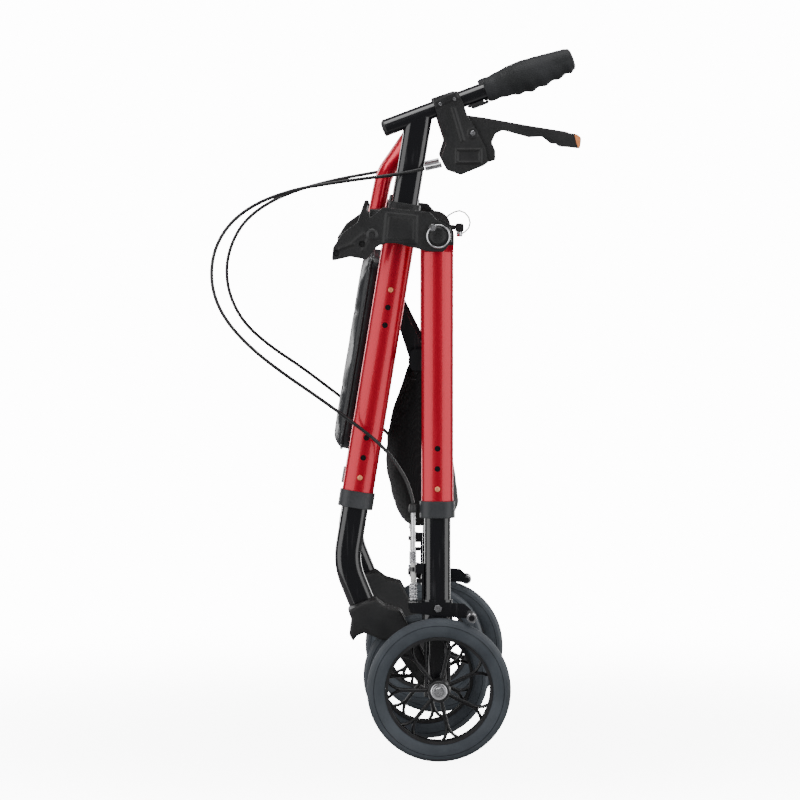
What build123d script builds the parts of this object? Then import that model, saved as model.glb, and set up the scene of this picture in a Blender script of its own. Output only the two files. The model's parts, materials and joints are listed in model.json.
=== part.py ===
from build123d import *
import math
import os

# Folding rollator walker, modelled folded. Millimetres, +Z up, +X towards the user.
# X = 0 is the rear axle, Y = 0 the middle of the walker, Z = 0 the floor.
# The left half lies at -Y. Each left piece is mirrored to make its right twin.

# ---- driving dimensions -------------------------------------------------
# track: distance of each side's pieces from the middle plane
front_y = 212.0
rear_y = front_y + 40.0
rear_wheel_y = rear_y + 38.0

# frame tubes: flat-oval outer tubes with flat-oval inner tubes sliding in them
tube_depth = 45.0
tube_width = 25.0
tube_wall = 2.0
slide_gap_depth = 1.75
slide_gap_width = 0.5
inner_depth = tube_depth - 2 * (tube_wall + slide_gap_depth)
inner_width = tube_width - 2 * (tube_wall + slide_gap_width)
inner_wall = 1.8
fit_gap = 0.3
hole_pitch = 28.6
post_pitch = 25.4

# fold pivot and rear leg
leg_x = -2.0
pivot_z = 740.0
rear_tube_bottom = 347.7
rear_inner_top = 480.0
rear_clip_z = 383.0

# front frame: its axis crosses the bracket and leans back from the vertical;
# the clip's height above the floor is the point that the rest is measured from
bracket_back = 50.5
bracket_up = 16.5
front_z = 396.3
front_lean = 9.3
front_tube_drop = 38.0
front_tube_top = 27.0
front_inner_rise = 84.0
stem_corner_drop = 124.0
stem_bend_radius = 90.0
stem_lean = 22.0
stem_length = 58.0

# collars at the ends of the outer tubes
collar_height = 24.0
collar_grip = 18.0
collar_wall = 2.6

# wheels
rear_wheel_r = 101.5
rear_tyre_inner_r = 76.0
rear_tyre_width = 34.0
front_wheel_r = 89.0
front_tyre_inner_r = 67.0
front_tyre_width = 28.0
rim_thickness = 5.0
hub_r = 17.0
front_hub_r = 15.0
spoke_count = 7
spoke_width = 5.0
axle_r = 6.0
running_gap = 0.05
caster_trail = 45.0
caster_drop = 134.0

# handle
handle_r = 11.1
handle_rise = 20.5
handle_x = leg_x - 72.4
handle_z = pivot_z + 151.0
handle_length = 278.0
grip_start = 150.0
grip_end = 282.0
post_overlap = 197.0
post_clip_drop = 122.0

# fold pivot and lock pin
pivot_r = 6.0
lock_r = 3.0
lock_x = leg_x - 7.0
lock_z = pivot_z + 12.0
plate_thickness = 9.5
plate_gap = 2.0
fold_angle = 46.0

# seat: hinge on the front tubes, pad and board lie along them when folded;
# its ends and its hinge are measured down from the tube's top
seat_hinge_drop = 254.0
seat_low_drop = 352.0
seat_high_drop = 70.0
seat_side_gap = 15.5
pad_near = 10.0
pad_thickness = 34.0
board_near = 3.0
board_thickness = 6.0
bar_r = 8.0
bar_back = 6.0
link_x = leg_x - 26.0
link_z = pivot_z - 176.0
link_lug_up = 115.0
link_thickness = 5.0
link_gap = 3.0

# snap clips
clip_r = 3.8
clip_stand = 3.0

# ---- derived places -----------------------------------------------------
lean = math.radians(front_lean)
stem = math.radians(stem_lean)
rise = math.radians(handle_rise)
front_axis = Vector(math.sin(lean), 0, math.cos(lean))
front_across = Vector(math.cos(lean), 0, -math.sin(lean))
bracket_place = (leg_x - bracket_back, pivot_z + bracket_up)
front_reach = (bracket_place[1] - front_z) / math.cos(lean)
front_top = front_reach + front_tube_top
front_tube_length = front_top + front_tube_drop
front_x = bracket_place[0] - front_reach * math.sin(lean)
front_point = Vector(front_x, -front_y, front_z)
stem_down = Vector(math.sin(stem), 0, -math.cos(stem))
stem_back = Vector(math.cos(stem), 0, math.sin(stem))
stem_corner = front_point - front_axis * stem_corner_drop
stem_end = stem_corner + stem_down * stem_length
caster_axle = stem_end + stem_down * caster_drop + stem_back * caster_trail
handle_axis = Vector(math.cos(rise), 0, math.sin(rise))
handle_point = Vector(handle_x, -front_y, handle_z)
plate_in = rear_y + tube_width / 2 + plate_gap
post_bottom = front_top - post_overlap
post_clip_up = front_top - post_clip_drop
seat_hinge_up = front_top - seat_hinge_drop
seat_low = front_top - seat_low_drop
seat_high = front_top - seat_high_drop
seat_width = 2 * (front_y - tube_width / 2 - seat_side_gap)
link_y = seat_width / 2 + link_gap + link_thickness


def side_plane(y):
    """Plane facing the left side (-Y), whose x and y run along X and Z."""
    return Plane.XZ.offset(y)


def front_plane(up, y=front_y):
    """Plane across the left front tube, that far up its axis."""
    origin = Vector(front_x, -y, front_z) + front_axis * up
    return Plane(origin, x_dir=front_across, z_dir=front_axis)


def front_place(up, forward=0.0):
    """Point in side view beside the front tube's axis, as X and Z."""
    spot = front_point + front_axis * up - front_across * forward
    return spot.X, spot.Z


def beside(place, offsets):
    """The outline whose points are given as distances from a place."""
    return [(place[0] + x, place[1] + z) for x, z in offsets]


def save(piece, name):
    piece.label = name
    export_step(piece, "parts/" + name + ".step")


def save_pair(piece, name):
    save(piece, name + "_left")
    save(mirror(piece, about=Plane.XZ), name + "_right")


def disc(plane, place, radius, amount, mode=Mode.ADD):
    """A round disc or hole standing on a plane."""
    with BuildSketch(plane) as outline:
        with Locations(place):
            Circle(radius)
    extrude(outline.sketch, amount=amount, mode=mode)


os.makedirs("parts", exist_ok=True)

# ---- rear frame ---------------------------------------------------------
# Flat-oval tube, its top closed by a round hinge end with the pivot hole and
# the arc slot that the lock pin stands in while the frame folds.
rear_outer_face = rear_y + tube_width / 2
rear_inner_face = rear_y - tube_width / 2
lock_reach = math.hypot(lock_x - leg_x, lock_z - pivot_z)
lock_angle = math.degrees(math.atan2(lock_z - pivot_z, lock_x - leg_x))
slot_height = 2 * lock_r + 1.0
with BuildPart() as rear_tube:
    with BuildSketch(Plane((leg_x, -rear_y, rear_tube_bottom))):
        SlotOverall(tube_depth, tube_width)
        SlotOverall(tube_depth - 2 * tube_wall, tube_width - 2 * tube_wall, mode=Mode.SUBTRACT)
    extrude(amount=pivot_z - tube_depth / 2 - rear_tube_bottom)
    with BuildSketch(side_plane(rear_inner_face)) as hinge_end:
        with Locations((leg_x, pivot_z)):
            Circle(tube_depth / 2)
        with Locations((leg_x, pivot_z - tube_depth / 2)):
            Rectangle(tube_depth, tube_depth / 2, align=(Align.CENTER, Align.MIN))
    extrude(amount=tube_width)
    disc(side_plane(rear_inner_face), (leg_x, pivot_z), pivot_r + running_gap, tube_width, Mode.SUBTRACT)
    with BuildSketch(side_plane(rear_inner_face)):
        with Locations((leg_x, pivot_z)):
            Circle(lock_reach + slot_height / 2)
            Circle(lock_reach - slot_height / 2, mode=Mode.SUBTRACT)
        with BuildLine():
            wedge = [(leg_x, pivot_z)]
            for turn in (lock_angle + 16, lock_angle - fold_angle / 2, lock_angle - fold_angle - 16):
                way = Vector(2 * tube_depth, 0).rotate(Axis.Z, turn)
                wedge.append((leg_x + way.X, pivot_z + way.Y))
            Polyline(*wedge, close=True)
        make_face(mode=Mode.INTERSECT)
    extrude(amount=tube_width, mode=Mode.SUBTRACT)
    for step in range(3):
        place = (leg_x, rear_clip_z + step * hole_pitch)
        disc(side_plane(rear_outer_face), place, clip_r + fit_gap, -2 * tube_wall, Mode.SUBTRACT)
save_pair(rear_tube.part, "rear_tube")


def collar(plane):
    """Moulded collar: grips the outer tube, its lip guides the inner tube."""
    outer_depth = tube_depth + 2 * collar_wall
    outer_width = tube_width + 2 * collar_wall
    with BuildPart() as ring:
        with BuildSketch(plane.offset(collar_grip - collar_height)):
            SlotOverall(outer_depth, outer_width)
            SlotOverall(inner_depth + 2 * fit_gap, inner_width + 2 * fit_gap, mode=Mode.SUBTRACT)
        extrude(amount=collar_height)
        with BuildSketch(plane):
            SlotOverall(tube_depth, tube_width)
        extrude(amount=collar_height, mode=Mode.SUBTRACT)
        fillet(ring.faces().sort_by(Axis(plane.origin, plane.z_dir))[0].outer_wire().edges(), 1.2)
    return ring.part


rear_collar = collar(Plane((leg_x, -rear_y, rear_tube_bottom)))
save(Compound(children=[rear_collar, mirror(rear_collar, about=Plane.XZ)]), "rear_collars")

# Round bar between the rear tubes: it carries the seat links and the pouch.
end_plate = 3.0
with BuildPart() as rear_crossbar:
    disc(side_plane(-rear_inner_face), (link_x, link_z), bar_r, 2 * rear_inner_face)
    for y in (rear_inner_face - end_plate, -rear_inner_face):
        with BuildSketch(side_plane(y)):
            with Locations((link_x + 8, link_z)):
                RectangleRounded(40, 30, 6)
        extrude(amount=end_plate)
save(rear_crossbar.part, "rear_crossbar")

# ---- rear legs ----------------------------------------------------------
inner_outboard = rear_y + inner_width / 2
inner_inboard = rear_y - inner_width / 2
leg_foot = rear_wheel_r - 14.0
with BuildPart() as rear_extension:
    with BuildSketch(Plane((leg_x, -rear_y, leg_foot))):
        SlotOverall(inner_depth, inner_width)
        SlotOverall(inner_depth - 2 * inner_wall, inner_width - 2 * inner_wall, mode=Mode.SUBTRACT)
    extrude(amount=rear_inner_top - leg_foot)
    with BuildSketch(side_plane(inner_inboard)):
        with Locations((leg_x, rear_wheel_r)):
            Rectangle(inner_depth - inner_width, 28)
    extrude(amount=inner_width)
    disc(side_plane(inner_inboard), (0, rear_wheel_r), axle_r, inner_width, Mode.SUBTRACT)
    place = (leg_x, rear_clip_z)
    disc(side_plane(inner_outboard), place, clip_r + fit_gap, -2 * inner_wall, Mode.SUBTRACT)
save_pair(rear_extension.part, "rear_extension")


def snap_clip(plane, reach):
    """Spring clip: a domed button on a bent leaf, seen through the holes."""
    with BuildPart() as clip:
        with BuildSketch(plane):
            Circle(clip_r)
        extrude(amount=reach)
        fillet(clip.edges().sort_by(Axis(plane.origin, plane.z_dir))[-1], 1.5)
        with BuildSketch(plane.offset(-0.8)):
            with Locations((0, 8)):
                Rectangle(2 * clip_r, 28)
        extrude(amount=0.8)
    return clip.part


clip_seat = inner_wall + 0.6
clip_reach = clip_seat + (tube_width - inner_width) / 2 + clip_stand
clip_origin = (leg_x, -(inner_outboard - clip_seat), rear_clip_z)
rear_clip_plane = Plane(clip_origin, x_dir=(1, 0, 0), z_dir=(0, -1, 0))
save_pair(snap_clip(rear_clip_plane, clip_reach), "rear_clip")

# Axle bolt: inboard nut, spacer between leg and hub, washer and head outboard.
hub_half = 20.0
hub_in = rear_wheel_y - hub_half
hub_out = rear_wheel_y + hub_half
with BuildPart() as rear_axle:
    disc(side_plane(inner_inboard - 4), (0, rear_wheel_r), 8.5, 4)
    disc(side_plane(inner_inboard - 4), (0, rear_wheel_r), axle_r, hub_out + 6 - inner_inboard)
    disc(side_plane(inner_outboard), (0, rear_wheel_r), 10, hub_in - 0.5 - inner_outboard)
    disc(side_plane(hub_out + 0.5), (0, rear_wheel_r), 9, 2)
    disc(side_plane(hub_out + 2.5), (0, rear_wheel_r), 6.3, 4)
    chamfer(rear_axle.edges().filter_by(GeomType.CIRCLE).sort_by(Axis.Y)[0], 1.0)
save_pair(rear_axle.part, "rear_axle")


def wheel(centre, y, sizes):
    """Rim with a hub, curved spokes and a band, and its solid tyre."""
    tyre_r, band_r, width, hub, half_hub = sizes
    cx, cz = centre
    with BuildPart() as rim:
        disc(side_plane(y - half_hub), centre, hub, 2 * half_hub)
        with BuildSketch(side_plane(y - width / 2 + 3)):
            with Locations(centre):
                Circle(band_r)
                Circle(band_r - rim_thickness, mode=Mode.SUBTRACT)
        extrude(amount=width - 6)
        with BuildSketch(side_plane(y - 4)):
            with Locations(centre):
                with PolarLocations((hub + band_r - rim_thickness) / 2, spoke_count, start_angle=180):
                    Rectangle(band_r - hub - rim_thickness + 4, spoke_width)
        extrude(amount=8)
        disc(side_plane(y - half_hub), centre, axle_r + running_gap, 2 * half_hub, Mode.SUBTRACT)
    with BuildPart() as tyre:
        with BuildSketch(Plane((cx, -y, cz), x_dir=(0, 0, 1), z_dir=(1, 0, 0))):
            with Locations(((band_r + tyre_r) / 2, 0)):
                RectangleRounded(tyre_r - band_r, width, 8)
            with Locations((band_r + 3, 0)):
                Rectangle(6, width - 6)
        revolve(axis=Axis((cx, -y, cz), (0, 1, 0)))
    return rim.part, tyre.part


rear_sizes = (rear_wheel_r, rear_tyre_inner_r, rear_tyre_width, hub_r, hub_half)
rear_rim, rear_tyre = wheel((0, rear_wheel_r), rear_wheel_y, rear_sizes)
save_pair(rear_rim, "rear_rim")
save_pair(rear_tyre, "rear_tyre")

# Brake: a pressed bracket on the leg holds the pivot, guide wire and adjuster.
brake_z = rear_wheel_r + 112.8
brake_x = leg_x + 1.0
arm_thickness = 2.5
cable_x = leg_x - 34.0
arm_in = inner_outboard + 2.0
guide_low = brake_z + 35.7
guide_high = brake_z + 62.7
spine_thickness = 3.0
with BuildPart() as brake_bracket:
    with BuildSketch(Plane((leg_x, -rear_y, brake_z - 18))):
        SlotOverall(inner_depth + 2 * spine_thickness, inner_width + 4)
        SlotOverall(inner_depth + 2 * running_gap, inner_width + 2 * running_gap, mode=Mode.SUBTRACT)
    extrude(amount=30)
    disc(side_plane(inner_outboard + 1), (brake_x, brake_z), 3.9, arm_thickness + 4)
    disc(side_plane(arm_in + arm_thickness + 0.4), (brake_x, brake_z), 5.5, 3)
    front_face = leg_x - inner_depth / 2 - running_gap
    with BuildSketch(Plane((front_face - spine_thickness / 2, -rear_y, brake_z))):
        Rectangle(spine_thickness, 12)
    extrude(amount=guide_high - brake_z)
    for z, height in ((guide_high - 7, 14.0), (guide_low + 2.5, 5.0)):
        with BuildSketch(Plane(((cable_x + 4 + front_face) / 2, -rear_y, z - height / 2))):
            Rectangle(front_face - cable_x - 4, 12)
        extrude(amount=height)
    with BuildSketch(Plane((cable_x, -rear_y, guide_high - 11))):
        Circle(6.5)
    extrude(amount=6)
    with BuildSketch(Plane((cable_x, -rear_y, guide_low - 2))):
        Circle(4.0 + running_gap)
    extrude(amount=guide_high - guide_low + 4, mode=Mode.SUBTRACT)
save_pair(brake_bracket.part, "brake_bracket")

# Barrel adjuster: the cable's end coupling, a sleeve through the guide, the
# white barrel, the return spring and its cup, all on one line down the leg.
cable_top = brake_z + 146.7
lug_low = brake_z - 0.3
cup_low = brake_z + 10.4
adjuster_steps = (
    (cable_top - 12, 6.5, 12),
    (guide_high + 18, 3.0, cable_top - 30 - guide_high),
    (guide_low + 12, 4.0, guide_high - guide_low + 6),
    (cup_low + 4, 3.6, guide_low + 8 - cup_low),
    (cup_low, 6.5, 4),
)
with BuildPart() as cable_adjuster:
    for low, radius, height in adjuster_steps:
        with BuildSketch(Plane((cable_x, -rear_y, low))):
            Circle(radius)
        extrude(amount=height)
save_pair(cable_adjuster.part, "cable_adjuster")

# Brake arm: a plate beside the leg, a cup lug in front, a stud over the tyre.
arm_outline = beside((brake_x, brake_z), (
    (-43, 7.7), (-5, 9.7), (37, 6.7), (47, -2.3), (43, -14.3), (-5, -10.3), (-39, -6.3),
))
shoe_x = brake_x + 47.0
shoe_z = brake_z - 10.3
shoe_r = 7.5
with BuildPart() as brake_arm:
    with BuildSketch(side_plane(arm_in)):
        with BuildLine():
            Polyline(*arm_outline, close=True)
        make_face()
        fillet(vertices(), 3)
    extrude(amount=arm_thickness)
    with BuildSketch(side_plane(rear_y - 8)):
        with Locations((cable_x, lug_low + 4)):
            Rectangle(14, 8)
    extrude(amount=arm_in - rear_y + 8)
    disc(side_plane(arm_in), (shoe_x, shoe_z), 4, 40)
    disc(side_plane(arm_in), (brake_x, brake_z), 3.95, arm_thickness, Mode.SUBTRACT)
save_pair(brake_arm.part, "brake_arm")

shoe_in = rear_wheel_y - rear_tyre_width / 2
with BuildPart() as brake_shoe:
    disc(side_plane(shoe_in), (shoe_x, shoe_z), shoe_r, 30)
    disc(side_plane(shoe_in), (shoe_x, shoe_z), 4, 30, Mode.SUBTRACT)
save_pair(brake_shoe.part, "brake_shoe")

# ---- front frame --------------------------------------------------------
front_outer_face = front_y + tube_width / 2
with BuildPart() as front_tube:
    with BuildSketch(front_plane(-front_tube_drop)):
        SlotOverall(tube_depth, tube_width)
        SlotOverall(tube_depth - 2 * tube_wall, tube_width - 2 * tube_wall, mode=Mode.SUBTRACT)
    extrude(amount=front_tube_length)
    leg_holes = [k * hole_pitch for k in range(3)]
    post_holes = [post_clip_up - k * post_pitch for k in range(3)]
    for up in leg_holes + post_holes:
        disc(side_plane(front_outer_face), front_place(up), clip_r + fit_gap, -2 * tube_wall, Mode.SUBTRACT)
save_pair(front_tube.part, "front_tube")

front_collar = collar(front_plane(-front_tube_drop))
save(Compound(children=[front_collar, mirror(front_collar, about=Plane.XZ)]), "front_collars")

# Front leg: bent oval tube with the caster's spindle at its lower end.
spindle_length = 30.0
with BuildPart() as front_extension:
    with BuildLine() as leg_line:
        top_point = front_point + front_axis * front_inner_rise
        FilletPolyline(top_point, stem_corner, stem_end, radius=stem_bend_radius)
    start = leg_line.line @ 0
    with BuildSketch(Plane(start, x_dir=front_across, z_dir=-front_axis)):
        SlotOverall(inner_depth, inner_width)
        SlotOverall(inner_depth - 2 * inner_wall, inner_width - 2 * inner_wall, mode=Mode.SUBTRACT)
    sweep(path=leg_line.line)
    stem_plane = Plane(stem_end, x_dir=stem_back, z_dir=stem_down)
    with BuildSketch(stem_plane.offset(-6)):
        SlotOverall(inner_depth - inner_wall, inner_width - inner_wall)
    extrude(amount=6)
    with BuildSketch(stem_plane):
        Circle(axle_r)
    extrude(amount=spindle_length)
    place = front_place(0)
    disc(side_plane(front_y + inner_width / 2), place, clip_r + fit_gap, -2 * inner_wall, Mode.SUBTRACT)
save_pair(front_extension.part, "front_extension")


def front_clip_plane(up):
    """Plane of a clip inside the front leg or the handle post."""
    x, z = front_place(up)
    origin = (x, -(front_y + inner_width / 2 - clip_seat), z)
    return Plane(origin, x_dir=front_across, z_dir=(0, -1, 0))


save_pair(snap_clip(front_clip_plane(0), clip_reach), "front_clip")
save_pair(snap_clip(front_clip_plane(post_clip_up), clip_reach), "handle_clip")

# Caster: a hooded fork, hollowed round the wheel, with the wheel's axle.
fork_half = 23.0
fork_clear = 18.0
caster_place = (caster_axle.X, caster_axle.Z)
hood_front = beside((stem_end.X, stem_end.Z), (
    (-14.2, -24.2), (-18.2, -12.2), (-3.2, -4.2), (20.8, 3.8), (33.8, -6.2), (55.8, -12.2), (76.8, -50.2),
))
fork_tip = beside(caster_place, ((11.9, 4.2), (4.9, -10.8), (-11.1, -8.8)))
hood_back = beside((stem_end.X, stem_end.Z), (
    (37.8, -55.2), (28.8, -54.2), (14.8, -48.2), (3.8, -44.2), (-7.2, -49.2), (-11.2, -57.2), (-17.2, -46.2),
))
hood_outline = hood_front + fork_tip + hood_back
with BuildPart() as caster_fork:
    with BuildSketch(side_plane(front_y - fork_half)):
        with BuildLine():
            Polyline(*hood_outline, close=True)
        make_face()
        fillet(vertices(), 1.8)
    extrude(amount=2 * fork_half)
    with BuildSketch(stem_plane.offset(4)):
        Circle(20)
    extrude(amount=20)
    disc(side_plane(front_y - fork_clear), caster_place, front_wheel_r + 6, 2 * fork_clear, Mode.SUBTRACT)
    with BuildSketch(stem_plane.offset(0.5)):
        Circle(axle_r + running_gap)
    extrude(amount=spindle_length + 2, mode=Mode.SUBTRACT)
    with BuildSketch(stem_plane.offset(-40)):
        Rectangle(120, 80)
    extrude(amount=40.5, mode=Mode.SUBTRACT)
    disc(side_plane(front_y - fork_half - 3), caster_place, axle_r, 2 * fork_half + 6)
    disc(side_plane(front_y - fork_half - 3), caster_place, 8, 3)
    disc(side_plane(front_y + fork_half), caster_place, 8, 3)
save_pair(caster_fork.part, "caster_fork")

front_sizes = (front_wheel_r, front_tyre_inner_r, front_tyre_width, front_hub_r, fork_clear - 1.0)
front_rim, front_tyre = wheel(caster_place, front_y, front_sizes)
save_pair(front_rim, "front_rim")
save_pair(front_tyre, "front_tyre")

# Side bracket: outer plate over the fold pivot, block round the front tube.
plate_outline = beside((leg_x, pivot_z), (
    (-149, -35), (-147, -16), (-134, 4), (-113, 19), (-106, 39), (-100, 39), (-97, 24),
    (-76, 41), (-11, 34), (-2, 24), (18, 12), (20, -8), (8, -22), (-12, -22), (-66, -8),
    (-84, -14), (-100, -33), (-123, -29),
))
block_height = 41.0
block_depth = 67.0
block_in = front_y - tube_width / 2 - 4.0
backrest_hole_r = 4.2
backrest_holes = beside((leg_x, pivot_z), ((-106, -11), (-142, -24)))
hoop_r = 12.0
hoop_fit = 0.1
socket_wall = 3.5
hoop_y = block_in - hoop_r - 1
hoop_side = beside((leg_x, pivot_z), ((-90, 12), (-76, 82), (-40, 134)))
hoop_points = [(x, y, z) for (x, z), y in zip(hoop_side, (hoop_y, hoop_y, hoop_y - 36))]
hoop_twin = [(x, -y, z) for x, y, z in reversed(hoop_points)]
hoop_up = (Vector(hoop_points[1]) - Vector(hoop_points[0])).normalized()
with BuildPart() as side_bracket:
    with BuildSketch(side_plane(plate_in)):
        with BuildLine():
            Polyline(*plate_outline, close=True)
        make_face()
        fillet(vertices(), 2.5)
    extrude(amount=plate_thickness)
    disc(side_plane(plate_in), (leg_x, pivot_z), 20, plate_thickness)
    with BuildSketch(side_plane(block_in)):
        with Locations((bracket_place[0] - 12, bracket_place[1])):
            RectangleRounded(block_depth, block_height, 3)
    extrude(amount=plate_in - block_in)
    socket_plane = Plane((hoop_points[0][0], -hoop_y, hoop_points[0][2]), z_dir=hoop_up)
    with BuildSketch(socket_plane.offset(-8)):
        Circle(hoop_r + socket_wall)
    extrude(amount=27)
    with BuildSketch(socket_plane):
        Circle(hoop_r + hoop_fit)
    extrude(amount=30, mode=Mode.SUBTRACT)
    with BuildSketch(front_plane(front_top - 92)):
        SlotOverall(tube_depth, tube_width)
    extrude(amount=92, mode=Mode.SUBTRACT)
    with BuildSketch(front_plane(front_top - 52)):
        SlotOverall(inner_depth + 2 * fit_gap, inner_width + 2 * fit_gap)
    extrude(amount=140, mode=Mode.SUBTRACT)
    disc(side_plane(plate_in), (leg_x, pivot_z), pivot_r + running_gap, plate_thickness, Mode.SUBTRACT)
    disc(side_plane(plate_in), (lock_x, lock_z), lock_r + running_gap, plate_thickness, Mode.SUBTRACT)
    for place in backrest_holes:
        disc(side_plane(plate_in), place, backrest_hole_r, plate_thickness, Mode.SUBTRACT)
save_pair(side_bracket.part, "side_bracket")

# Pivot bolts: washer inside the rear tube, shank, round black cap outside.
cap_height = 6.0
plate_out = plate_in + plate_thickness
bolt_end = rear_inner_face - 3
with BuildPart() as pivot_bolt:
    disc(side_plane(bolt_end), (leg_x, pivot_z), 10, 3 - running_gap)
    disc(side_plane(bolt_end), (leg_x, pivot_z), pivot_r, plate_out - bolt_end)
    disc(side_plane(plate_out), (leg_x, pivot_z), 14, cap_height)
    fillet(pivot_bolt.edges().sort_by(Axis.Y)[0], 2.0)
    disc(side_plane(plate_out), (lock_x, lock_z), 6.6, cap_height, Mode.SUBTRACT)
save(Compound(children=[pivot_bolt.part, mirror(pivot_bolt.part, about=Plane.XZ)]), "pivot_bolts")

# Lock pin: shank through the plate into the rear tube's arc slot, round head
# and a pull ring lying against the cap.
ring_r = 15.8
ring_wire = 1.2
pin_head = plate_out + 0.5
with BuildPart() as lock_pin:
    disc(side_plane(rear_outer_face - 4), (lock_x, lock_z), lock_r, pin_head - rear_outer_face + 4)
    disc(side_plane(pin_head), (lock_x, lock_z), 6, cap_height + 3)
    ring_origin = (leg_x + 1, -(pin_head + cap_height + 1.4), pivot_z)
    ring_plane = Plane(ring_origin, x_dir=(1, 0, 0), z_dir=(0, -1, 0))
    with BuildSketch(ring_plane.offset(-ring_wire)):
        Circle(ring_r + ring_wire)
        Circle(ring_r - ring_wire, mode=Mode.SUBTRACT)
    extrude(amount=2 * ring_wire)
save_pair(lock_pin.part, "lock_pin")

# Round hoop joining the two brackets, its ends in their sockets.
with BuildPart() as hoop_tube:
    with BuildLine() as hoop_line:
        FilletPolyline(*hoop_points, *hoop_twin, radius=34)
    with BuildSketch(Plane(hoop_line.line @ 0, z_dir=hoop_line.line % 0)):
        Circle(hoop_r)
        Circle(hoop_r - tube_wall, mode=Mode.SUBTRACT)
    sweep(path=hoop_line.line)
save(hoop_tube.part, "hoop_tube")

# ---- seat ---------------------------------------------------------------
def panel(low, high, near, thickness, width, corner):
    """A flat panel lying along the front tubes, across the walker."""
    corners = [front_place(low, near), front_place(high, near)]
    corners += [front_place(high, near + thickness), front_place(low, near + thickness)]
    with BuildPart() as slab:
        with BuildSketch(side_plane(-width / 2)):
            with BuildLine():
                Polyline(*corners, close=True)
            make_face()
            fillet(vertices(), corner)
        extrude(amount=width)
    return slab.part


save(panel(seat_low, seat_high, pad_near, pad_thickness, seat_width, 9), "seat_pad")

lug_thickness = 6.0
hinge_y = seat_width / 2 - 19.0
hinge_place = front_place(seat_hinge_up, -bar_back)
link_lug_back = 10.0
lug_place = front_place(seat_hinge_up + link_lug_up, -link_lug_back)
board_back = board_near + board_thickness / 2
with BuildPart() as seat_board:
    add(panel(seat_low + 8, seat_high - 8, board_near, board_thickness, seat_width, 2))
    lugs = (
        (hinge_place, seat_hinge_up, hinge_y, bar_r + 5),
        (lug_place, seat_hinge_up + link_lug_up, seat_width / 2 - lug_thickness, 7.0),
    )
    for place, up, lug_y, lug_r in lugs:
        for y in (lug_y, -lug_y - lug_thickness):
            with BuildSketch(side_plane(y)) as lug:
                with Locations(place):
                    Circle(lug_r)
                with BuildLine():
                    Polyline(
                        front_place(up - lug_r, board_back),
                        front_place(up + lug_r, board_back),
                        front_place(up + lug_r, 0),
                        place,
                        front_place(up - lug_r, 0),
                        close=True,
                    )
                make_face()
            extrude(amount=lug_thickness)
    disc(side_plane(-seat_width / 2), hinge_place, bar_r + running_gap, seat_width, Mode.SUBTRACT)
    disc(side_plane(-seat_width / 2), lug_place, 3, seat_width, Mode.SUBTRACT)
save(seat_board.part, "seat_board")

with BuildPart() as seat_bar:
    half_gap = front_y - tube_width / 2
    disc(side_plane(-half_gap), hinge_place, bar_r, 2 * half_gap)
save(seat_bar.part, "seat_bar")

# Seat links: two flat bars on the rear crossbar, tied by a rod.
with BuildPart() as seat_links:
    for y in (link_y - link_thickness, -link_y):
        with BuildSketch(side_plane(y)):
            with Locations((link_x, link_z)):
                Circle(bar_r + 5)
            with Locations(lug_place):
                Circle(6.5)
            make_hull()
        extrude(amount=link_thickness)
    rod_place = ((link_x + lug_place[0]) / 2, (link_z + lug_place[1]) / 2)
    disc(side_plane(-link_y + 1), rod_place, 4, 2 * link_y - 2)
    disc(side_plane(-link_y), (link_x, link_z), bar_r + running_gap, 2 * link_y, Mode.SUBTRACT)
    disc(side_plane(-link_y), lug_place, 3, 2 * link_y, Mode.SUBTRACT)
save(seat_links.part, "seat_links")

# Pouch: a soft bag hung from the rear crossbar, between the legs.
pouch_half = 170.0
pouch_outline = beside((link_x, link_z), (
    (-12, -13), (-32, -64), (-50, -116), (-49, -163), (-34, -215), (-28, -242), (6, -243),
    (38, -230), (54, -220), (55, -204), (46, -164), (34, -94), (16, -16),
))
with BuildPart() as pouch:
    with BuildSketch(side_plane(-pouch_half)):
        with BuildLine():
            Polyline(*pouch_outline, close=True)
        make_face()
    extrude(amount=2 * pouch_half)
    fillet(pouch.edges().filter_by(Axis.Y), 3)
save(pouch.part, "pouch")

# ---- handles ------------------------------------------------------------
handle_wall = 2.0
handle_plane = Plane(handle_point, x_dir=(0, 1, 0), z_dir=handle_axis)
tube_normal = Vector(-math.sin(rise), 0, math.cos(rise))
with BuildPart() as handle_post:
    with BuildSketch(front_plane(post_bottom)):
        SlotOverall(inner_depth, inner_width)
        SlotOverall(inner_depth - 2 * inner_wall, inner_width - 2 * inner_wall, mode=Mode.SUBTRACT)
    extrude(amount=post_overlap + 148)
    split(bisect_by=Plane(handle_point, z_dir=tube_normal), keep=Keep.BOTTOM)
    with BuildSketch(handle_plane):
        Circle(handle_r)
    extrude(amount=handle_length)
    with BuildSketch(handle_plane.offset(3)):
        Circle(handle_r - handle_wall)
    extrude(amount=handle_length, mode=Mode.SUBTRACT)
    place = front_place(post_clip_up)
    disc(side_plane(front_y + inner_width / 2), place, clip_r + fit_gap, -2 * inner_wall, Mode.SUBTRACT)
save_pair(handle_post.part, "handle_post")

# Grip: closed rubber sleeve pushed over the end of the handle tube.
grip_profile = (
    (grip_start, handle_r + running_gap), (grip_start, 15), (grip_start + 12, 18),
    (grip_start + 60, 22.5), (grip_start + 100, 20), (grip_end - 12, 17), (grip_end, 14.5), (grip_end, 0),
    (handle_length + 0.1, 0), (handle_length + 0.1, handle_r + running_gap),
)
with BuildPart() as grip:
    with BuildSketch(Plane(handle_point, x_dir=handle_axis, z_dir=(0, -1, 0))):
        with BuildLine():
            Polyline(*grip_profile, close=True)
        make_face()
    revolve(axis=Axis(handle_point, handle_axis))
save_pair(grip.part, "grip")

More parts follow.
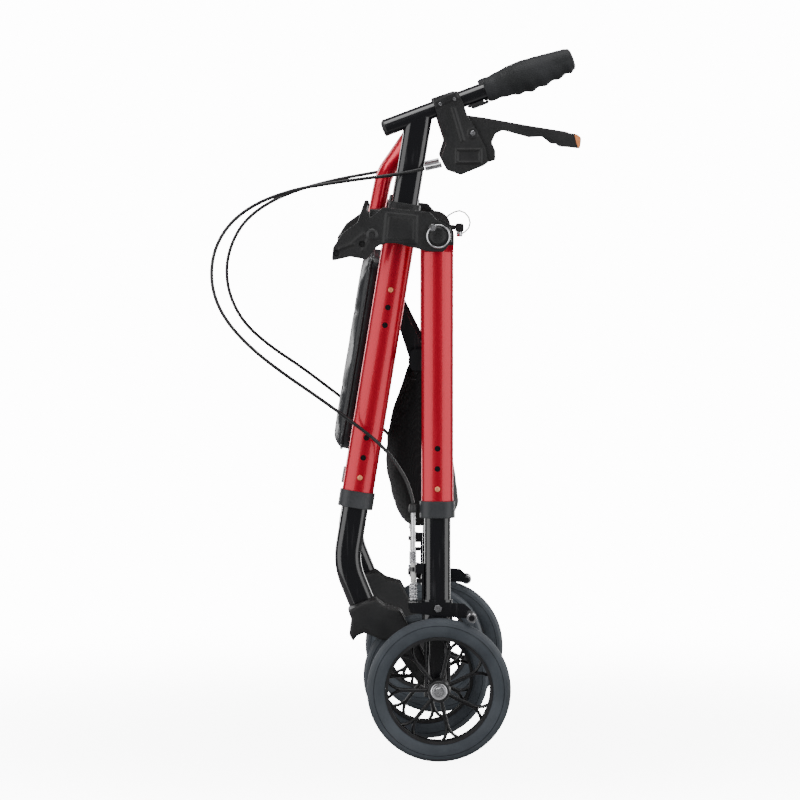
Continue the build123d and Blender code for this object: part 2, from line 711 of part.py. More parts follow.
# Brake housing: clamped on the handle tube, slotted for the lever.
lever_x = handle_x + 122.4
lever_z = handle_z - 7.0
lever_pin_r = 2.5
housing_half = 17.0
lever_half = 9.0
housing_outline = beside((lever_x, lever_z), (
    (-57, 48), (-22, 60), (-14, 44), (-8, 26), (7, 1), (18, -20), (22, -41), (15, -46),
    (-17, -59), (-37, -52), (-45, -35), (-38, -14), (-46, 10),
))
slot_outline = beside((lever_x, lever_z), (
    (-20, 26), (-4, 31), (42, 31), (42, -56), (8, -56), (-4, -26), (-16, -2),
))
with BuildPart() as brake_housing:
    with BuildSketch(side_plane(front_y - housing_half)):
        with BuildLine():
            Polyline(*housing_outline, close=True)
        make_face()
        fillet(vertices(), 2.5)
    extrude(amount=2 * housing_half)
    with BuildSketch(side_plane(front_y - lever_half - 1)):
        with BuildLine():
            Polyline(*slot_outline, close=True)
        make_face()
    extrude(amount=2 * lever_half + 2, mode=Mode.SUBTRACT)
    disc(side_plane(front_y - housing_half), (lever_x, lever_z), lever_pin_r, 2 * housing_half)
    with BuildSketch(handle_plane):
        Circle(handle_r + running_gap)
    extrude(amount=handle_length, mode=Mode.SUBTRACT)
save_pair(brake_housing.part, "brake_housing")

# Cable ferrule: a metal sleeve that the brake cable leaves the housing by.
ferrule_y = front_y + 15.0
ferrule_r = 3.8
ferrule_end = Vector(lever_x - 67.4, -ferrule_y, lever_z - 49.7)
ferrule_way = Vector(-0.975, 0, -0.222).normalized()
ferrule_length = 24.0
with BuildPart() as cable_ferrule:
    with BuildSketch(Plane(ferrule_end - ferrule_way * ferrule_length, z_dir=ferrule_way)):
        Circle(ferrule_r)
    extrude(amount=ferrule_length)
save_pair(cable_ferrule.part, "cable_ferrule")

lever_outline = beside((lever_x, lever_z), (
    (-7, 24), (22, 20), (89, 8), (145, -1), (153, -6), (151, -22), (135, -20), (122, -19),
    (111, -10), (97, -5), (79, -6), (42, 4), (32, -1), (27, -13), (32, -25), (32, -38),
    (22, -41), (14, -34), (6, -18), (-6, -2),
))
with BuildPart() as brake_lever:
    with BuildSketch(side_plane(front_y - lever_half)):
        with BuildLine():
            Polyline(*lever_outline, close=True)
        make_face()
        fillet(vertices(), 1.5)
    extrude(amount=2 * lever_half)
    pin_hole_r = lever_pin_r + running_gap
    disc(side_plane(front_y - lever_half), (lever_x, lever_z), pin_hole_r, 2 * lever_half, Mode.SUBTRACT)
save_pair(brake_lever.part, "brake_lever")

# ---- brake cables -------------------------------------------------------
# Each cable leaves its ferrule, loops out in front of the walker and comes
# back past the front tube to the coupling above the barrel adjuster.
cable_d = 5.0
left_route = (
    (-20, -227, 834.2), (-55, -232, 826), (-100, -236, 821), (-150, -238, 814), (-204, -238, 805),
    (-255, -238, 787), (-292, -238, 761), (-314, -238, 728), (-322, -238, 692), (-318, -238, 655),
    (-300, -238, 618), (-265, -238, 580), (-220, -238, 545), (-170, -238, 511), (-118, -237, 473),
    (-81, -239, 444), (-57, -244, 414), (-41, -250, 386), (-36, -252, cable_top + 0.9),
)
right_route = (
    (-20, 227, 834.2), (-55, 232, 828), (-100, 236, 820), (-150, 238, 811), (-204, 238, 797),
    (-250, 238, 778), (-288, 238, 750), (-309, 238, 714), (-317, 238, 675), (-311, 238, 635),
    (-290, 238, 595), (-252, 238, 561), (-205, 238, 530), (-160, 238, 496), (-118, 237, 464),
    (-82, 239, 438), (-58, 244, 411), (-41, 250, 385), (-36, 252, cable_top + 0.9),
)


def corner_radii(points):
    """Arc radius at each corner of a route, as large as its two runs allow."""
    radii = []
    for before, here, after in zip(points, points[1:], points[2:]):
        into = Vector(here) - Vector(before)
        out = Vector(after) - Vector(here)
        half_turn = math.radians(into.get_angle(out)) / 2
        radii.append(0.45 * min(into.length, out.length) / math.tan(half_turn))
    return radii


for name, route in (("brake_cable_left", left_route), ("brake_cable_right", right_route)):
    radii = corner_radii(route)
    with BuildPart() as brake_cable:
        with BuildLine() as cable_line:
            FilletPolyline(*route, radius=radii)
        with BuildSketch(Plane(cable_line.line @ 0, z_dir=cable_line.line % 0)):
            Circle(cable_d / 2)
        sweep(path=cable_line.line)
    expected = math.pi * cable_d ** 2 / 4 * cable_line.wire().length
    print(name, "radii", [round(r) for r in radii], "length", round(cable_line.wire().length))
    print(name, "volume against section times length", round(brake_cable.part.volume / expected, 4))
    save(brake_cable.part, name)
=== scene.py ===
import json
import math

import bmesh
import bpy
from mathutils.bvhtree import BVHTree
from mathutils import Matrix, Vector, noise


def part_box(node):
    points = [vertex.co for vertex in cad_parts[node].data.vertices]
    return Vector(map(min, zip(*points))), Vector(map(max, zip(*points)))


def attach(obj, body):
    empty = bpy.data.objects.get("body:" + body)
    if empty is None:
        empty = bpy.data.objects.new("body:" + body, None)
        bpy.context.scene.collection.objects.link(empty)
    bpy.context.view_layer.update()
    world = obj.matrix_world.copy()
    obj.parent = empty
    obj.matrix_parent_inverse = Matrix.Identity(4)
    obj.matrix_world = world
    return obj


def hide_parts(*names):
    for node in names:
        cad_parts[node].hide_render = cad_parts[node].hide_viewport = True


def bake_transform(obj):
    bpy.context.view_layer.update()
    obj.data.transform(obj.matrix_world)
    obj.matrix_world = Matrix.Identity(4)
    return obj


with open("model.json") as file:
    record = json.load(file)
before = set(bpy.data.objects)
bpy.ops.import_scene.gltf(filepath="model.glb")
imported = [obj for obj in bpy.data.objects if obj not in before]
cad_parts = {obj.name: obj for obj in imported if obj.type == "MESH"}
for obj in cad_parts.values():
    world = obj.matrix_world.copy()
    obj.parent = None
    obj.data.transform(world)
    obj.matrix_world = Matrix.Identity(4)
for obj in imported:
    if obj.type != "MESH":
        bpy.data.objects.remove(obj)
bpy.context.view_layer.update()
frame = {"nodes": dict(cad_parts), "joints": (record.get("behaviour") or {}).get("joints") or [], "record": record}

mm = 0.001

# ---- Studio ---------------------------------------------------------------
# A round pale floor that fades out into a white surround, two tall soft boxes
# level with the walker and a wide one overhead. The camera looks along the
# axles, level with the handles and tipped a little down.
floor_radius = 2.6
floor_form = bmesh.new()
bmesh.ops.create_circle(floor_form, cap_ends=True, segments=96, radius=floor_radius)
floor_mesh = bpy.data.meshes.new("studio_floor")
floor_form.to_mesh(floor_mesh)
floor_form.free()
studio_floor = bpy.data.objects.new("studio_floor", floor_mesh)
bpy.context.scene.collection.objects.link(studio_floor)
paper = bpy.data.materials.new("studio_paper")
paper.use_nodes = True
sheet = paper.node_tree.nodes["Principled BSDF"]
sheet.inputs["Base Color"].default_value = (0.93, 0.93, 0.93, 1)
sheet.inputs["Roughness"].default_value = 0.9
sheet.inputs["Specular IOR Level"].default_value = 0.1
spot = paper.node_tree.nodes.new("ShaderNodeTexCoord")
reach = paper.node_tree.nodes.new("ShaderNodeVectorMath")
reach.operation = "LENGTH"
paper.node_tree.links.new(spot.outputs["Object"], reach.inputs[0])
fade = paper.node_tree.nodes.new("ShaderNodeMapRange")
fade.interpolation_type = "SMOOTHSTEP"
for socket, value in (("From Min", 0.25), ("From Max", 1.6), ("To Min", 0.40), ("To Max", 0.0)):
    fade.inputs[socket].default_value = value
paper.node_tree.links.new(reach.outputs["Value"], fade.inputs["Value"])
paper.node_tree.links.new(fade.outputs["Result"], sheet.inputs["Alpha"])
floor_mesh.materials.append(paper)


def soft_box(name, place, aim, size, power):
    """A rectangular studio lamp turned towards a point."""
    lamp = bpy.data.lights.new(name, "AREA")
    lamp.shape = "RECTANGLE"
    lamp.size, lamp.size_y = size
    lamp.energy = power
    stand = bpy.data.objects.new(name, lamp)
    stand.location = place
    stand.rotation_euler = (Vector(aim) - Vector(place)).to_track_quat("-Z", "Y").to_euler()
    stand.visible_camera = False
    bpy.context.scene.collection.objects.link(stand)


soft_box("lamp_left", (-1.85, -1.70, 0.9), (0, 0, 0.55), (2.9, 2.8), 50)
soft_box("lamp_right", (1.85, -1.70, 0.9), (0, 0, 0.55), (2.9, 2.8), 50)
soft_box("lamp_left_behind", (-1.9, 1.9, 1.1), (0, 0, 0.55), (0.9, 2.4), 45)
soft_box("lamp_right_behind", (1.9, 1.9, 1.1), (0, 0, 0.55), (0.9, 2.4), 45)
soft_box("lamp_top", (0, -0.3, 3.0), (0, 0, 0.5), (2.2, 2.2), 60)
world = bpy.data.worlds.new("studio_air")
world.use_nodes = True
air = world.node_tree.nodes["Background"]
air.inputs["Color"].default_value = (1.0, 1.0, 1.0, 1)
ray = world.node_tree.nodes.new("ShaderNodeLightPath")
level = world.node_tree.nodes.new("ShaderNodeMapRange")
level.inputs["To Min"].default_value = 0.10
level.inputs["To Max"].default_value = 14.0
world.node_tree.links.new(ray.outputs["Is Camera Ray"], level.inputs["Value"])
world.node_tree.links.new(level.outputs["Result"], air.inputs["Strength"])
bpy.context.scene.world = world

camera_data = bpy.data.cameras.new("camera")
camera_data.lens = 231.0
camera_data.sensor_width = 36.0
camera_data.clip_end = 60.0
camera = bpy.data.objects.new("camera", camera_data)
wheel_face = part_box("rear_tyre_left")[0].y
camera_stand = Vector((-0.0548, wheel_face + 0.0265 - 7.2, 0.944))
camera_aim = Vector((-0.0548, wheel_face + 0.0265, 0.510))
camera.location = camera_stand
camera.rotation_euler = (camera_aim - camera_stand).to_track_quat("-Z", "Y").to_euler()
bpy.context.scene.collection.objects.link(camera)
bpy.context.scene.camera = camera


# ---- Brake cables ---------------------------------------------------------
# Each is a steel inner wire in a smooth black plastic sheath, 5 mm thick. It
# leaves the ferrule under the grip, loops out in front and comes back past
# the front tube to the coupling on the rear leg. It is drawn in four
# stretches, and only the loop rides the front frame.
class Signal:
    """A number that varies over a surface; ordinary sums on it add Math nodes."""

    def __init__(self, finish, socket):
        self.finish = finish
        self.socket = socket

    def sum(self, operation, *values):
        inputs = dict(enumerate(values))
        return self.finish.node("ShaderNodeMath", {"operation": operation}, inputs)

    def __add__(self, other):
        return self.sum("ADD", self, other)

    def __mul__(self, other):
        return self.sum("MULTIPLY", self, other)

    def __sub__(self, other):
        return self.sum("SUBTRACT", self, other)

    def __rsub__(self, other):
        return self.sum("SUBTRACT", other, self)

    __radd__ = __add__
    __rmul__ = __mul__


class Finish:
    """A surface finish being mixed on a principled shader."""

    def __init__(self, name, **constants):
        self.material = bpy.data.materials.new(name)
        self.material.use_nodes = True
        self.tree = self.material.node_tree
        self.shader = self.tree.nodes["Principled BSDF"]
        self.here = self.node("ShaderNodeTexCoord", {}, {}, "Object")
        for socket, value in constants.items():
            self.shader.inputs[socket.replace("_", " ")].default_value = value

    def node(self, kind, settings, inputs, output=0):
        made = self.tree.nodes.new(kind)
        for name, value in settings.items():
            if name == "stops":
                for stop, (place, level) in zip(made.color_ramp.elements, value):
                    stop.position = place
                    stop.color = (level, level, level, 1)
            else:
                setattr(made, name, value)
        for name, value in inputs.items():
            if isinstance(value, Signal):
                self.tree.links.new(value.socket, made.inputs[name])
            else:
                made.inputs[name].default_value = value
        return Signal(self, made.outputs[output])

    def grain(self, scale, detail=2.0, stretch=None):
        """Cloudy noise of that many lumps to the metre, pulled out by stretch."""
        where = self.here
        if stretch:
            where = self.node("ShaderNodeMapping", {}, {"Vector": where, "Scale": stretch})
        return self.node("ShaderNodeTexNoise", {}, {"Vector": where, "Scale": scale, "Detail": detail})

    def between(self, signal, low, high):
        """The signal with everything under low made 0 and over high made 1."""
        return self.node("ShaderNodeValToRGB", {"stops": ((low, 0.0), (high, 1.0))}, {0: signal})

    def blend(self, factor, first, second):
        inputs = {0: factor, 6: (*first, 1), 7: (*second, 1)}
        return self.node("ShaderNodeMix", {"data_type": "RGBA"}, inputs, 2)

    def relief(self, height, depth):
        """The surface's normal with the height signal pressed in, depth in metres."""
        inputs = {"Strength": 1.0, "Distance": depth, "Height": height}
        return self.node("ShaderNodeBump", {}, inputs, "Normal")

    def wear(self, **links):
        for socket, value in links.items():
            self.tree.links.new(value.socket, self.shader.inputs[socket.replace("_", " ")])
        return self.material


def sheath_finish():
    finish = Finish("cable_sheath", Specular_IOR_Level=0.5)
    rub = finish.between(finish.grain(60, 3), 0.45, 0.7)
    colour = finish.blend(rub, (0.010, 0.010, 0.011), (0.022, 0.022, 0.023))
    normal = finish.relief(finish.grain(900), 0.00008)
    return finish.wear(Base_Color=colour, Roughness=rub * 0.12 + 0.30, Normal=normal)


def shade(mesh, sharp=32):
    """Smooth faces, with the edges that turn by more than sharp degrees kept crisp."""
    form = bmesh.new()
    form.from_mesh(mesh)
    limit = math.radians(sharp)
    for face in form.faces:
        face.smooth = True
    for edge in form.edges:
        edge.smooth = not (len(edge.link_faces) == 2 and edge.calc_face_angle(0) > limit)
    form.to_mesh(mesh)
    form.free()


def finished(name, form, material, body, sharp=32, replaced=()):
    """A named piece from its built form: faces outwards, material on, riding its body."""
    bmesh.ops.remove_doubles(form, verts=form.verts, dist=1e-6)
    bmesh.ops.recalc_face_normals(form, faces=form.faces)
    mesh = bpy.data.meshes.new(name)
    form.to_mesh(mesh)
    form.free()
    shade(mesh, sharp)
    mesh.materials.append(material)
    piece = bpy.data.objects.new(name, mesh)
    bpy.context.scene.collection.objects.link(piece)
    if body:
        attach(piece, body)
    if replaced:
        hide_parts(*replaced)
    return piece


def round_steps(count):
    """Equal steps round a full turn, in radians."""
    return [2 * math.pi * k / count for k in range(count)]


def skin_rings(form, rings):
    """Four-sided faces between each ring of vertices and the next."""
    for here, there in zip(rings, rings[1:]):
        for k in range(len(here)):
            j = (k + 1) % len(here)
            form.faces.new((here[k], here[j], there[j], there[k]))


def tube(form, points, radius, sides=14, closed=False, flat=1.0):
    """A tube or flat strip that follows points, its section turned as little as it can be."""
    rings, count = [], len(points)
    side = None
    for k, point in enumerate(points):
        ahead = points[(k + 1) % count] if closed else points[min(k + 1, count - 1)]
        behind = points[k - 1] if closed else points[max(k - 1, 0)]
        way = (ahead - behind).normalized()
        if side is None:
            side = way.orthogonal() if abs(way.y) > 0.95 else way.cross(Vector((0, 1, 0)))
        side = (side - way * side.dot(way)).normalized()
        up = way.cross(side)
        ring = []
        for turn in round_steps(sides):
            offset = side * math.cos(turn) * radius * flat + up * math.sin(turn) * radius
            ring.append(form.verts.new(point + offset))
        rings.append(ring)
    skin_rings(form, rings + rings[:1] if closed else rings)
    if not closed:
        form.faces.new(rings[0][::-1])
        form.faces.new(rings[-1])


def smooth_line(name, points, resolution=10):
    """Points along the smooth line that the route's points steer, ends included."""
    data = bpy.data.curves.new(name, "CURVE")
    data.dimensions = "3D"
    spline = data.splines.new("NURBS")
    spline.points.add(len(points) - 1)
    for k, point in enumerate(points):
        spline.points[k].co = (*(c * mm for c in point), 1)
    spline.order_u = 3
    spline.use_endpoint_u = True
    data.resolution_u = resolution
    holder = bpy.data.objects.new(name, data)
    bpy.context.scene.collection.objects.link(holder)
    bpy.context.view_layer.update()
    graph = bpy.context.evaluated_depsgraph_get()
    line = bpy.data.meshes.new_from_object(holder.evaluated_get(graph))
    found = [v.co.copy() for v in line.vertices]
    bpy.data.objects.remove(holder)
    return found


def run_length(points):
    return sum((b - a).length for a, b in zip(points, points[1:]))


cable_d = 5.0
cable_top = 361.0
cable_routes = {
    "left": (
        (-20, -227, 834.2), (-55, -232, 826), (-100, -236, 821), (-150, -238, 814), (-204, -238, 805),
        (-255, -238, 787), (-292, -238, 761), (-314, -238, 728), (-322, -238, 692), (-318, -238, 655),
        (-300, -238, 618), (-265, -238, 580), (-220, -238, 545), (-170, -238, 511), (-118, -237, 473),
        (-81, -239, 444), (-57, -244, 414), (-41, -250, 386), (-36, -252, cable_top + 0.9),
    ),
    "right": (
        (-20, 227, 834.2), (-55, 232, 828), (-100, 236, 820), (-150, 238, 811), (-204, 238, 797),
        (-250, 238, 778), (-288, 238, 750), (-309, 238, 714), (-317, 238, 675), (-311, 238, 635),
        (-290, 238, 595), (-252, 238, 561), (-205, 238, 530), (-160, 238, 496), (-118, 237, 464),
        (-82, 239, 438), (-58, 244, 411), (-41, 250, 385), (-36, 252, cable_top + 0.9),
    ),
}
sheath = sheath_finish()
for side, route in cable_routes.items():
    line = smooth_line("cable_line", route)
    cuts = [0]
    for target in (0.30, 0.58, 0.80):
        reached = 0.0
        for k, (a, b) in enumerate(zip(line, line[1:])):
            reached += (b - a).length
            if reached >= target * run_length(line):
                cuts.append(k + 1)
                break
    cuts.append(len(line) - 1)
    stretches = (
        ("upper", "handle_" + side, "front_frame"),
        ("loop", "front_frame", None),
        ("lower", "front_frame", "rear_frame"),
        ("end", "rear_frame", "rear_leg_" + side),
    )
    for (part, first, second), start, stop in zip(stretches, cuts, cuts[1:]):
        run = line[start:stop + 1]
        form = bmesh.new()
        tube(form, run, cable_d / 2 * mm)
        name = f"brake_cable_{part}_{side}"
        cable = finished(name, form, sheath, None if second else first, 50)
        if second:
            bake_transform(cable)
        if part == "loop":
            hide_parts("brake_cable_" + side)
        run_length(run)

# ---- Frame tubes ----------------------------------------------------------
# Drawn aluminium in a flat-oval section, sprayed with a metallic base and a
# clear coat of deep red. The hoop is round tube in the same paint.
nodes = frame["nodes"]


def dress(material, *names):
    """Puts a finish on CAD pieces whose shape is already right."""
    for name in names:
        nodes[name].data.materials.clear()
        nodes[name].data.materials.append(material)
        for face in nodes[name].data.polygons:
            face.material_index = 0


def both(*stems):
    return [stem + side for stem in stems for side in ("left", "right")]


def red_lacquer_finish():
    finish = Finish("red_lacquer", Metallic=0.50, Coat_Weight=0.45, Coat_Roughness=0.04)
    flake = finish.node("ShaderNodeTexVoronoi", {}, {"Vector": finish.here, "Scale": 2600.0}, "Color")
    flake = finish.between(flake, 0.35, 0.95)
    cloud = finish.grain(14, 3)
    colour = finish.blend(flake * 0.6 + cloud * 0.4, (0.50, 0.0005, 0.014), (0.68, 0.002, 0.034))
    scuff = finish.between(finish.grain(26, 6, (1, 1, 0.15)), 0.60, 0.75)
    orange_peel = finish.relief(finish.grain(330, 1), 0.00003)
    return finish.wear(Base_Color=colour, Roughness=scuff * 0.10 + 0.30, Normal=orange_peel)


red_lacquer = red_lacquer_finish()
dress(red_lacquer, "hoop_tube")
tube_half_depth, tube_half_width = 0.0225, 0.0125


def oval_tube(stem, body, lean):
    """Draws a flat-oval tube with the softly crowned sides that the rolled tube has."""
    across = Vector((math.cos(lean), 0, -math.sin(lean)))
    for side in ("left", "right"):
        form = bmesh.new()
        form.from_mesh(nodes[stem + side].data)
        bmesh.ops.remove_doubles(form, verts=form.verts, dist=1e-6)
        lows = [min(f(v) for v in form.verts) for f in (lambda v: v.co.dot(across), lambda v: v.co.y)]
        highs = [max(f(v) for v in form.verts) for f in (lambda v: v.co.dot(across), lambda v: v.co.y)]
        middle = (lows[0] + highs[0]) / 2, (lows[1] + highs[1]) / 2
        for k in range(-8, 9):
            bmesh.ops.bisect_plane(form, geom=form.verts[:] + form.edges[:] + form.faces[:], dist=1e-6,
                                   plane_co=across * (middle[0] + k * 0.00124), plane_no=across)
        straight = tube_half_depth - tube_half_width
        for vertex in form.verts:
            u, v = vertex.co.dot(across) - middle[0], vertex.co.y - middle[1]
            rounded = math.hypot(max(0.0, abs(u) - straight), v)
            if abs(rounded - tube_half_width) < 0.0002 and abs(u) < tube_half_depth:
                crowned = tube_half_width * math.sqrt(max(0.0, 1 - (u / tube_half_depth) ** 2))
                vertex.co.y = middle[1] + math.copysign(crowned, v)
        finished(stem + "oval_" + side, form, red_lacquer, body, 30, (stem + side,))


oval_tube("rear_tube_", "rear_frame", 0.0)
front_lean = math.radians(9.3)
oval_tube("front_tube_", "front_frame", front_lean)


# ---- Inner legs, posts and bars -------------------------------------------
# Aluminium tube and steel bar in gloss black powder coat, with the very fine
# ripple that baked powder has and a few rubbed streaks where they slide.
def black_coat_finish():
    finish = Finish("black_coat", Coat_Weight=0.7, Coat_Roughness=0.08, Specular_IOR_Level=0.5)
    streak = finish.between(finish.grain(30, 5, (6, 6, 0.5)), 0.58, 0.72)
    colour = finish.blend(streak, (0.006, 0.006, 0.008), (0.017, 0.017, 0.020))
    ripple = finish.relief(finish.grain(420, 2), 0.00006)
    return finish.wear(Base_Color=colour, Roughness=streak * 0.15 + 0.20, Normal=ripple)


black_coat = black_coat_finish()
coated = both("rear_extension_", "front_extension_", "handle_post_", "brake_arm_", "brake_bracket_")
dress(black_coat, "rear_crossbar", "seat_bar", "seat_links", *coated)


# ---- Bright small parts ---------------------------------------------------
# Zinc-plated bolts, pins, adjusters and ferrules, faintly brushed, and the
# brass-plated snap buttons that show in the tubes' holes.
def plated_finish(name, colour, stain, metal=1.0):
    finish = Finish(name, Metallic=metal)
    cloud = finish.between(finish.grain(240, 4), 0.35, 0.75)
    brushed = finish.relief(finish.grain(1400, 2, (1, 0.1, 1)), 0.00003)
    tint = finish.blend(cloud, colour, stain)
    return finish.wear(Base_Color=tint, Roughness=cloud * 0.18 + 0.16, Normal=brushed)


zinc = plated_finish("zinc_plate", (0.80, 0.80, 0.82), (0.55, 0.55, 0.58))
brass = plated_finish("brass_plate", (1.0, 0.40, 0.20), (0.92, 0.32, 0.14), 0.35)
dress(zinc, *both("cable_ferrule_"))
dress(brass, *both("rear_clip_", "front_clip_", "handle_clip_"))


# ---- Collars --------------------------------------------------------------
# Charcoal nylon sleeves pressed over the ends of the red tubes; their lips
# steady the inner legs. Satin, with the fine spark texture of the mould.
def nylon_finish(name, dark, pale, shine=0.42):
    finish = Finish(name, Specular_IOR_Level=0.45)
    spark = finish.grain(1500, 2)
    drift = finish.grain(35, 3)
    colour = finish.blend(finish.between(drift, 0.3, 0.7), dark, pale)
    normal = finish.relief(spark, 0.00012)
    return finish.wear(Base_Color=colour, Roughness=drift * 0.14 + (shine - 0.05), Normal=normal)


charcoal_nylon = nylon_finish("charcoal_nylon", (0.030, 0.032, 0.036), (0.048, 0.050, 0.055))
black_nylon = nylon_finish("black_nylon", (0.012, 0.012, 0.013), (0.022, 0.022, 0.024))
dress(charcoal_nylon, "rear_collars", "front_collars")
dress(black_nylon, "seat_board")


# ---- Wheels ---------------------------------------------------------------
# Each wheel is one black nylon moulding, a hub, a band and seven forked
# spokes, with a soft grey tyre stretched over it. The rear pair is eight
# inch, the front pair seven. The tread has a fine groove at each shoulder.
def tyre_finish():
    finish = Finish("grey_tyre", Specular_IOR_Level=0.25)
    dust = finish.between(finish.grain(28, 5), 0.35, 0.72)
    colour = finish.blend(dust, (0.040, 0.047, 0.056), (0.066, 0.076, 0.088))
    normal = finish.relief(finish.grain(700, 3), 0.00018)
    return finish.wear(Base_Color=colour, Roughness=dust * 0.16 + 0.58, Normal=normal)


def turned(form, centre, profile, steps=96, way=Vector((0, 1, 0)), closed=True):
    """A ring or solid turned about an axis from (along, radius) points of its section."""
    side = way.orthogonal().normalized()
    up = way.cross(side)
    rings = []
    for turn in round_steps(steps):
        out = side * math.cos(turn) + up * math.sin(turn)
        rings.append([form.verts.new(centre + way * along + out * radius) for along, radius in profile])
    count = len(profile)
    for k in range(steps):
        here, there = rings[k], rings[(k + 1) % steps]
        for p in range(count if closed else count - 1):
            q = (p + 1) % count
            if profile[p][1] < 1e-9 and profile[q][1] < 1e-9:
                continue
            form.faces.new((here[p], here[q], there[q], there[p]))
    return rings


def tyre_section(inner, outer, half):
    """Rounded tyre section in metres: bead, bulged wall, grooved shoulder, crown."""
    wall, groove = outer - inner, 0.0012
    points = [
        (-half + 0.004, inner), (-half + 0.001, inner + 0.16 * wall), (-half, inner + 0.42 * wall),
        (-half + 0.0006, inner + 0.60 * wall), (-half + 0.0022, inner + 0.615 * wall),
        (-half + 0.0010, inner + 0.64 * wall), (-half + 0.0030, inner + 0.80 * wall),
        (-half + 0.0070, outer - 0.09 * wall), (-half + 0.0095, outer - 0.045 * wall),
        (-half + 0.0102, outer - 0.045 * wall - groove), (-half + 0.0112, outer - 0.03 * wall),
        (-0.002, outer),
    ]
    return points + [(-along, radius) for along, radius in reversed(points)]


def spoked_rim(form, centre, hub, half_hub, band_in, band_out, half_band, bore):
    """Hub, band with turned lips, and forked spokes that run into each other at the band."""
    turned(form, centre, [
        (-half_hub, bore), (-half_hub, hub - 0.0035), (-half_hub + 0.0012, hub - 0.002), (-0.008, hub),
        (0.008, hub), (half_hub - 0.0012, hub - 0.002), (half_hub, hub - 0.0035), (half_hub, bore),
    ], 64)
    lip = 0.0011
    turned(form, centre, [
        (-half_band, band_out), (-half_band, band_in - lip), (-half_band + 0.003, band_in - lip),
        (-half_band + 0.004, band_in), (half_band - 0.004, band_in), (half_band - 0.003, band_in - lip),
        (half_band, band_in - lip), (half_band, band_out),
    ], 96)
    fork, spread, width = 0.60, math.radians(8.5), 0.0023
    for k in range(7):
        mid = math.pi + 2 * math.pi * k / 7
        for sign in (-1, 1):
            run = []
            for step in range(11):
                share = step / 10
                radius = (hub - 0.002) + (band_in + 0.001 - hub) * share
                lean = max(0.0, (share - fork) / (1 - fork))
                turn = mid + sign * (spread * lean * lean + 0.035 * (1 - share))
                run.append(centre + Vector((math.cos(turn), 0, math.sin(turn))) * radius)
            tube(form, run, 0.0050, sides=8, flat=width / 0.0050)


rim_black = nylon_finish("rim_nylon", (0.008, 0.008, 0.009), (0.015, 0.015, 0.017), 0.34)
tyre_grey = tyre_finish()
wheels = {
    # stem: tyre inner radius, hub radius, half hub width, bore radius
    "rear": (0.076, 0.017, 0.020, 0.00605),
    "front": (0.067, 0.015, 0.017, 0.00605),
}
for end, (inner, hub, half_hub, bore) in wheels.items():
    for side in ("left", "right"):
        low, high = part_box(f"{end}_tyre_{side}")
        centre, outer, half = (low + high) / 2, (high.z - low.z) / 2, (high.y - low.y) / 2
        form = bmesh.new()
        turned(form, centre, tyre_section(inner, outer, half), 128)
        finished(f"{end}_tyre_soft_{side}", form, tyre_grey, f"{end}_wheel_{side}", 28,
                 (f"{end}_tyre_{side}",))
        form = bmesh.new()
        spoked_rim(form, centre, hub, half_hub, inner - 0.0032, inner, half - 0.003, bore)
        finished(f"{end}_spoked_rim_{side}", form, rim_black, f"{end}_wheel_{side}", 35,
                 (f"{end}_rim_{side}",))

# ---- Axle bolts -----------------------------------------------------------
# Zinc hex bolts through the rear hubs, with a pressed bearing ring outside
# and a socket in the head; the nut is inboard of the leg.
def stood(sign, start, profile):
    """(along, radius) points measured outwards from start, on the side that sign names."""
    return [(sign * (start + along), radius) for along, radius in profile]


def hex_profile(form, centre, way, across, height, socket=0.0):
    """A hex head standing on centre along way, its corners dressed, with a round socket."""
    side = way.orthogonal().normalized()
    up = way.cross(side)
    corner = across / math.sqrt(3)
    rings = []
    for along, scale in ((0.0, 1.0), (0.82 * height, 1.0), (height, 0.90)):
        ring = []
        for turn in round_steps(24):
            flat = across / 2 / math.cos((turn + math.pi / 6) % (math.pi / 3) - math.pi / 6)
            radius = min(flat, corner) * scale
            spoke = side * math.cos(turn) + up * math.sin(turn)
            ring.append(form.verts.new(centre + way * along + spoke * radius))
        rings.append(ring)
    for radius, along in ((socket, height), (socket, 0.4 * height)):
        if socket:
            rings.append([
                form.verts.new(centre + way * along + (side * math.cos(t) + up * math.sin(t)) * radius)
                for t in round_steps(24)
            ])
    skin_rings(form, rings)
    form.faces.new(rings[0][::-1])
    form.faces.new(rings[-1])


for side, sign in (("left", -1), ("right", 1)):
    low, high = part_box("rear_axle_" + side)
    middle = (low + high) / 2
    inner_end = high.y if sign < 0 else low.y
    tyre_low, tyre_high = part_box("rear_tyre_" + side)
    hub_middle = (tyre_low.y + tyre_high.y) / 2
    out = Vector((0, sign, 0))
    hub_face = abs(hub_middle) + 0.020
    form = bmesh.new()
    centre = Vector((middle.x, 0, middle.z))
    turned(form, centre, [
        (sign * (abs(inner_end) + 0.004), 0.0), (sign * (abs(inner_end) + 0.004), 0.0060),
        (sign * (hub_face + 0.0005), 0.0060), (sign * (hub_face + 0.0005), 0.0),
    ], 32, closed=False)
    turned(form, centre, stood(sign, hub_face, (
        (0.0003, 0.0062), (0.0003, 0.0112), (0.0013, 0.0115), (0.0016, 0.0108), (0.0016, 0.0085),
        (0.0024, 0.0082), (0.0024, 0.0062))), 48)
    hex_profile(form, centre + out * (hub_face + 0.0024), out, 0.0118, 0.0040, 0.0030)
    hex_profile(form, centre + out * (abs(inner_end) + 0.0041), -out, 0.0150, 0.0040)
    spacer_in = abs(hub_middle) - 0.0205
    spacer = ((-0.0070, 0.0062), (-0.0070, 0.0098), (0.0, 0.0098), (0.0, 0.0062))
    turned(form, centre, stood(sign, spacer_in, spacer), 40)
    finished("rear_axle_bolt_" + side, form, zinc, "rear_leg_" + side, 30, ("rear_axle_" + side,))


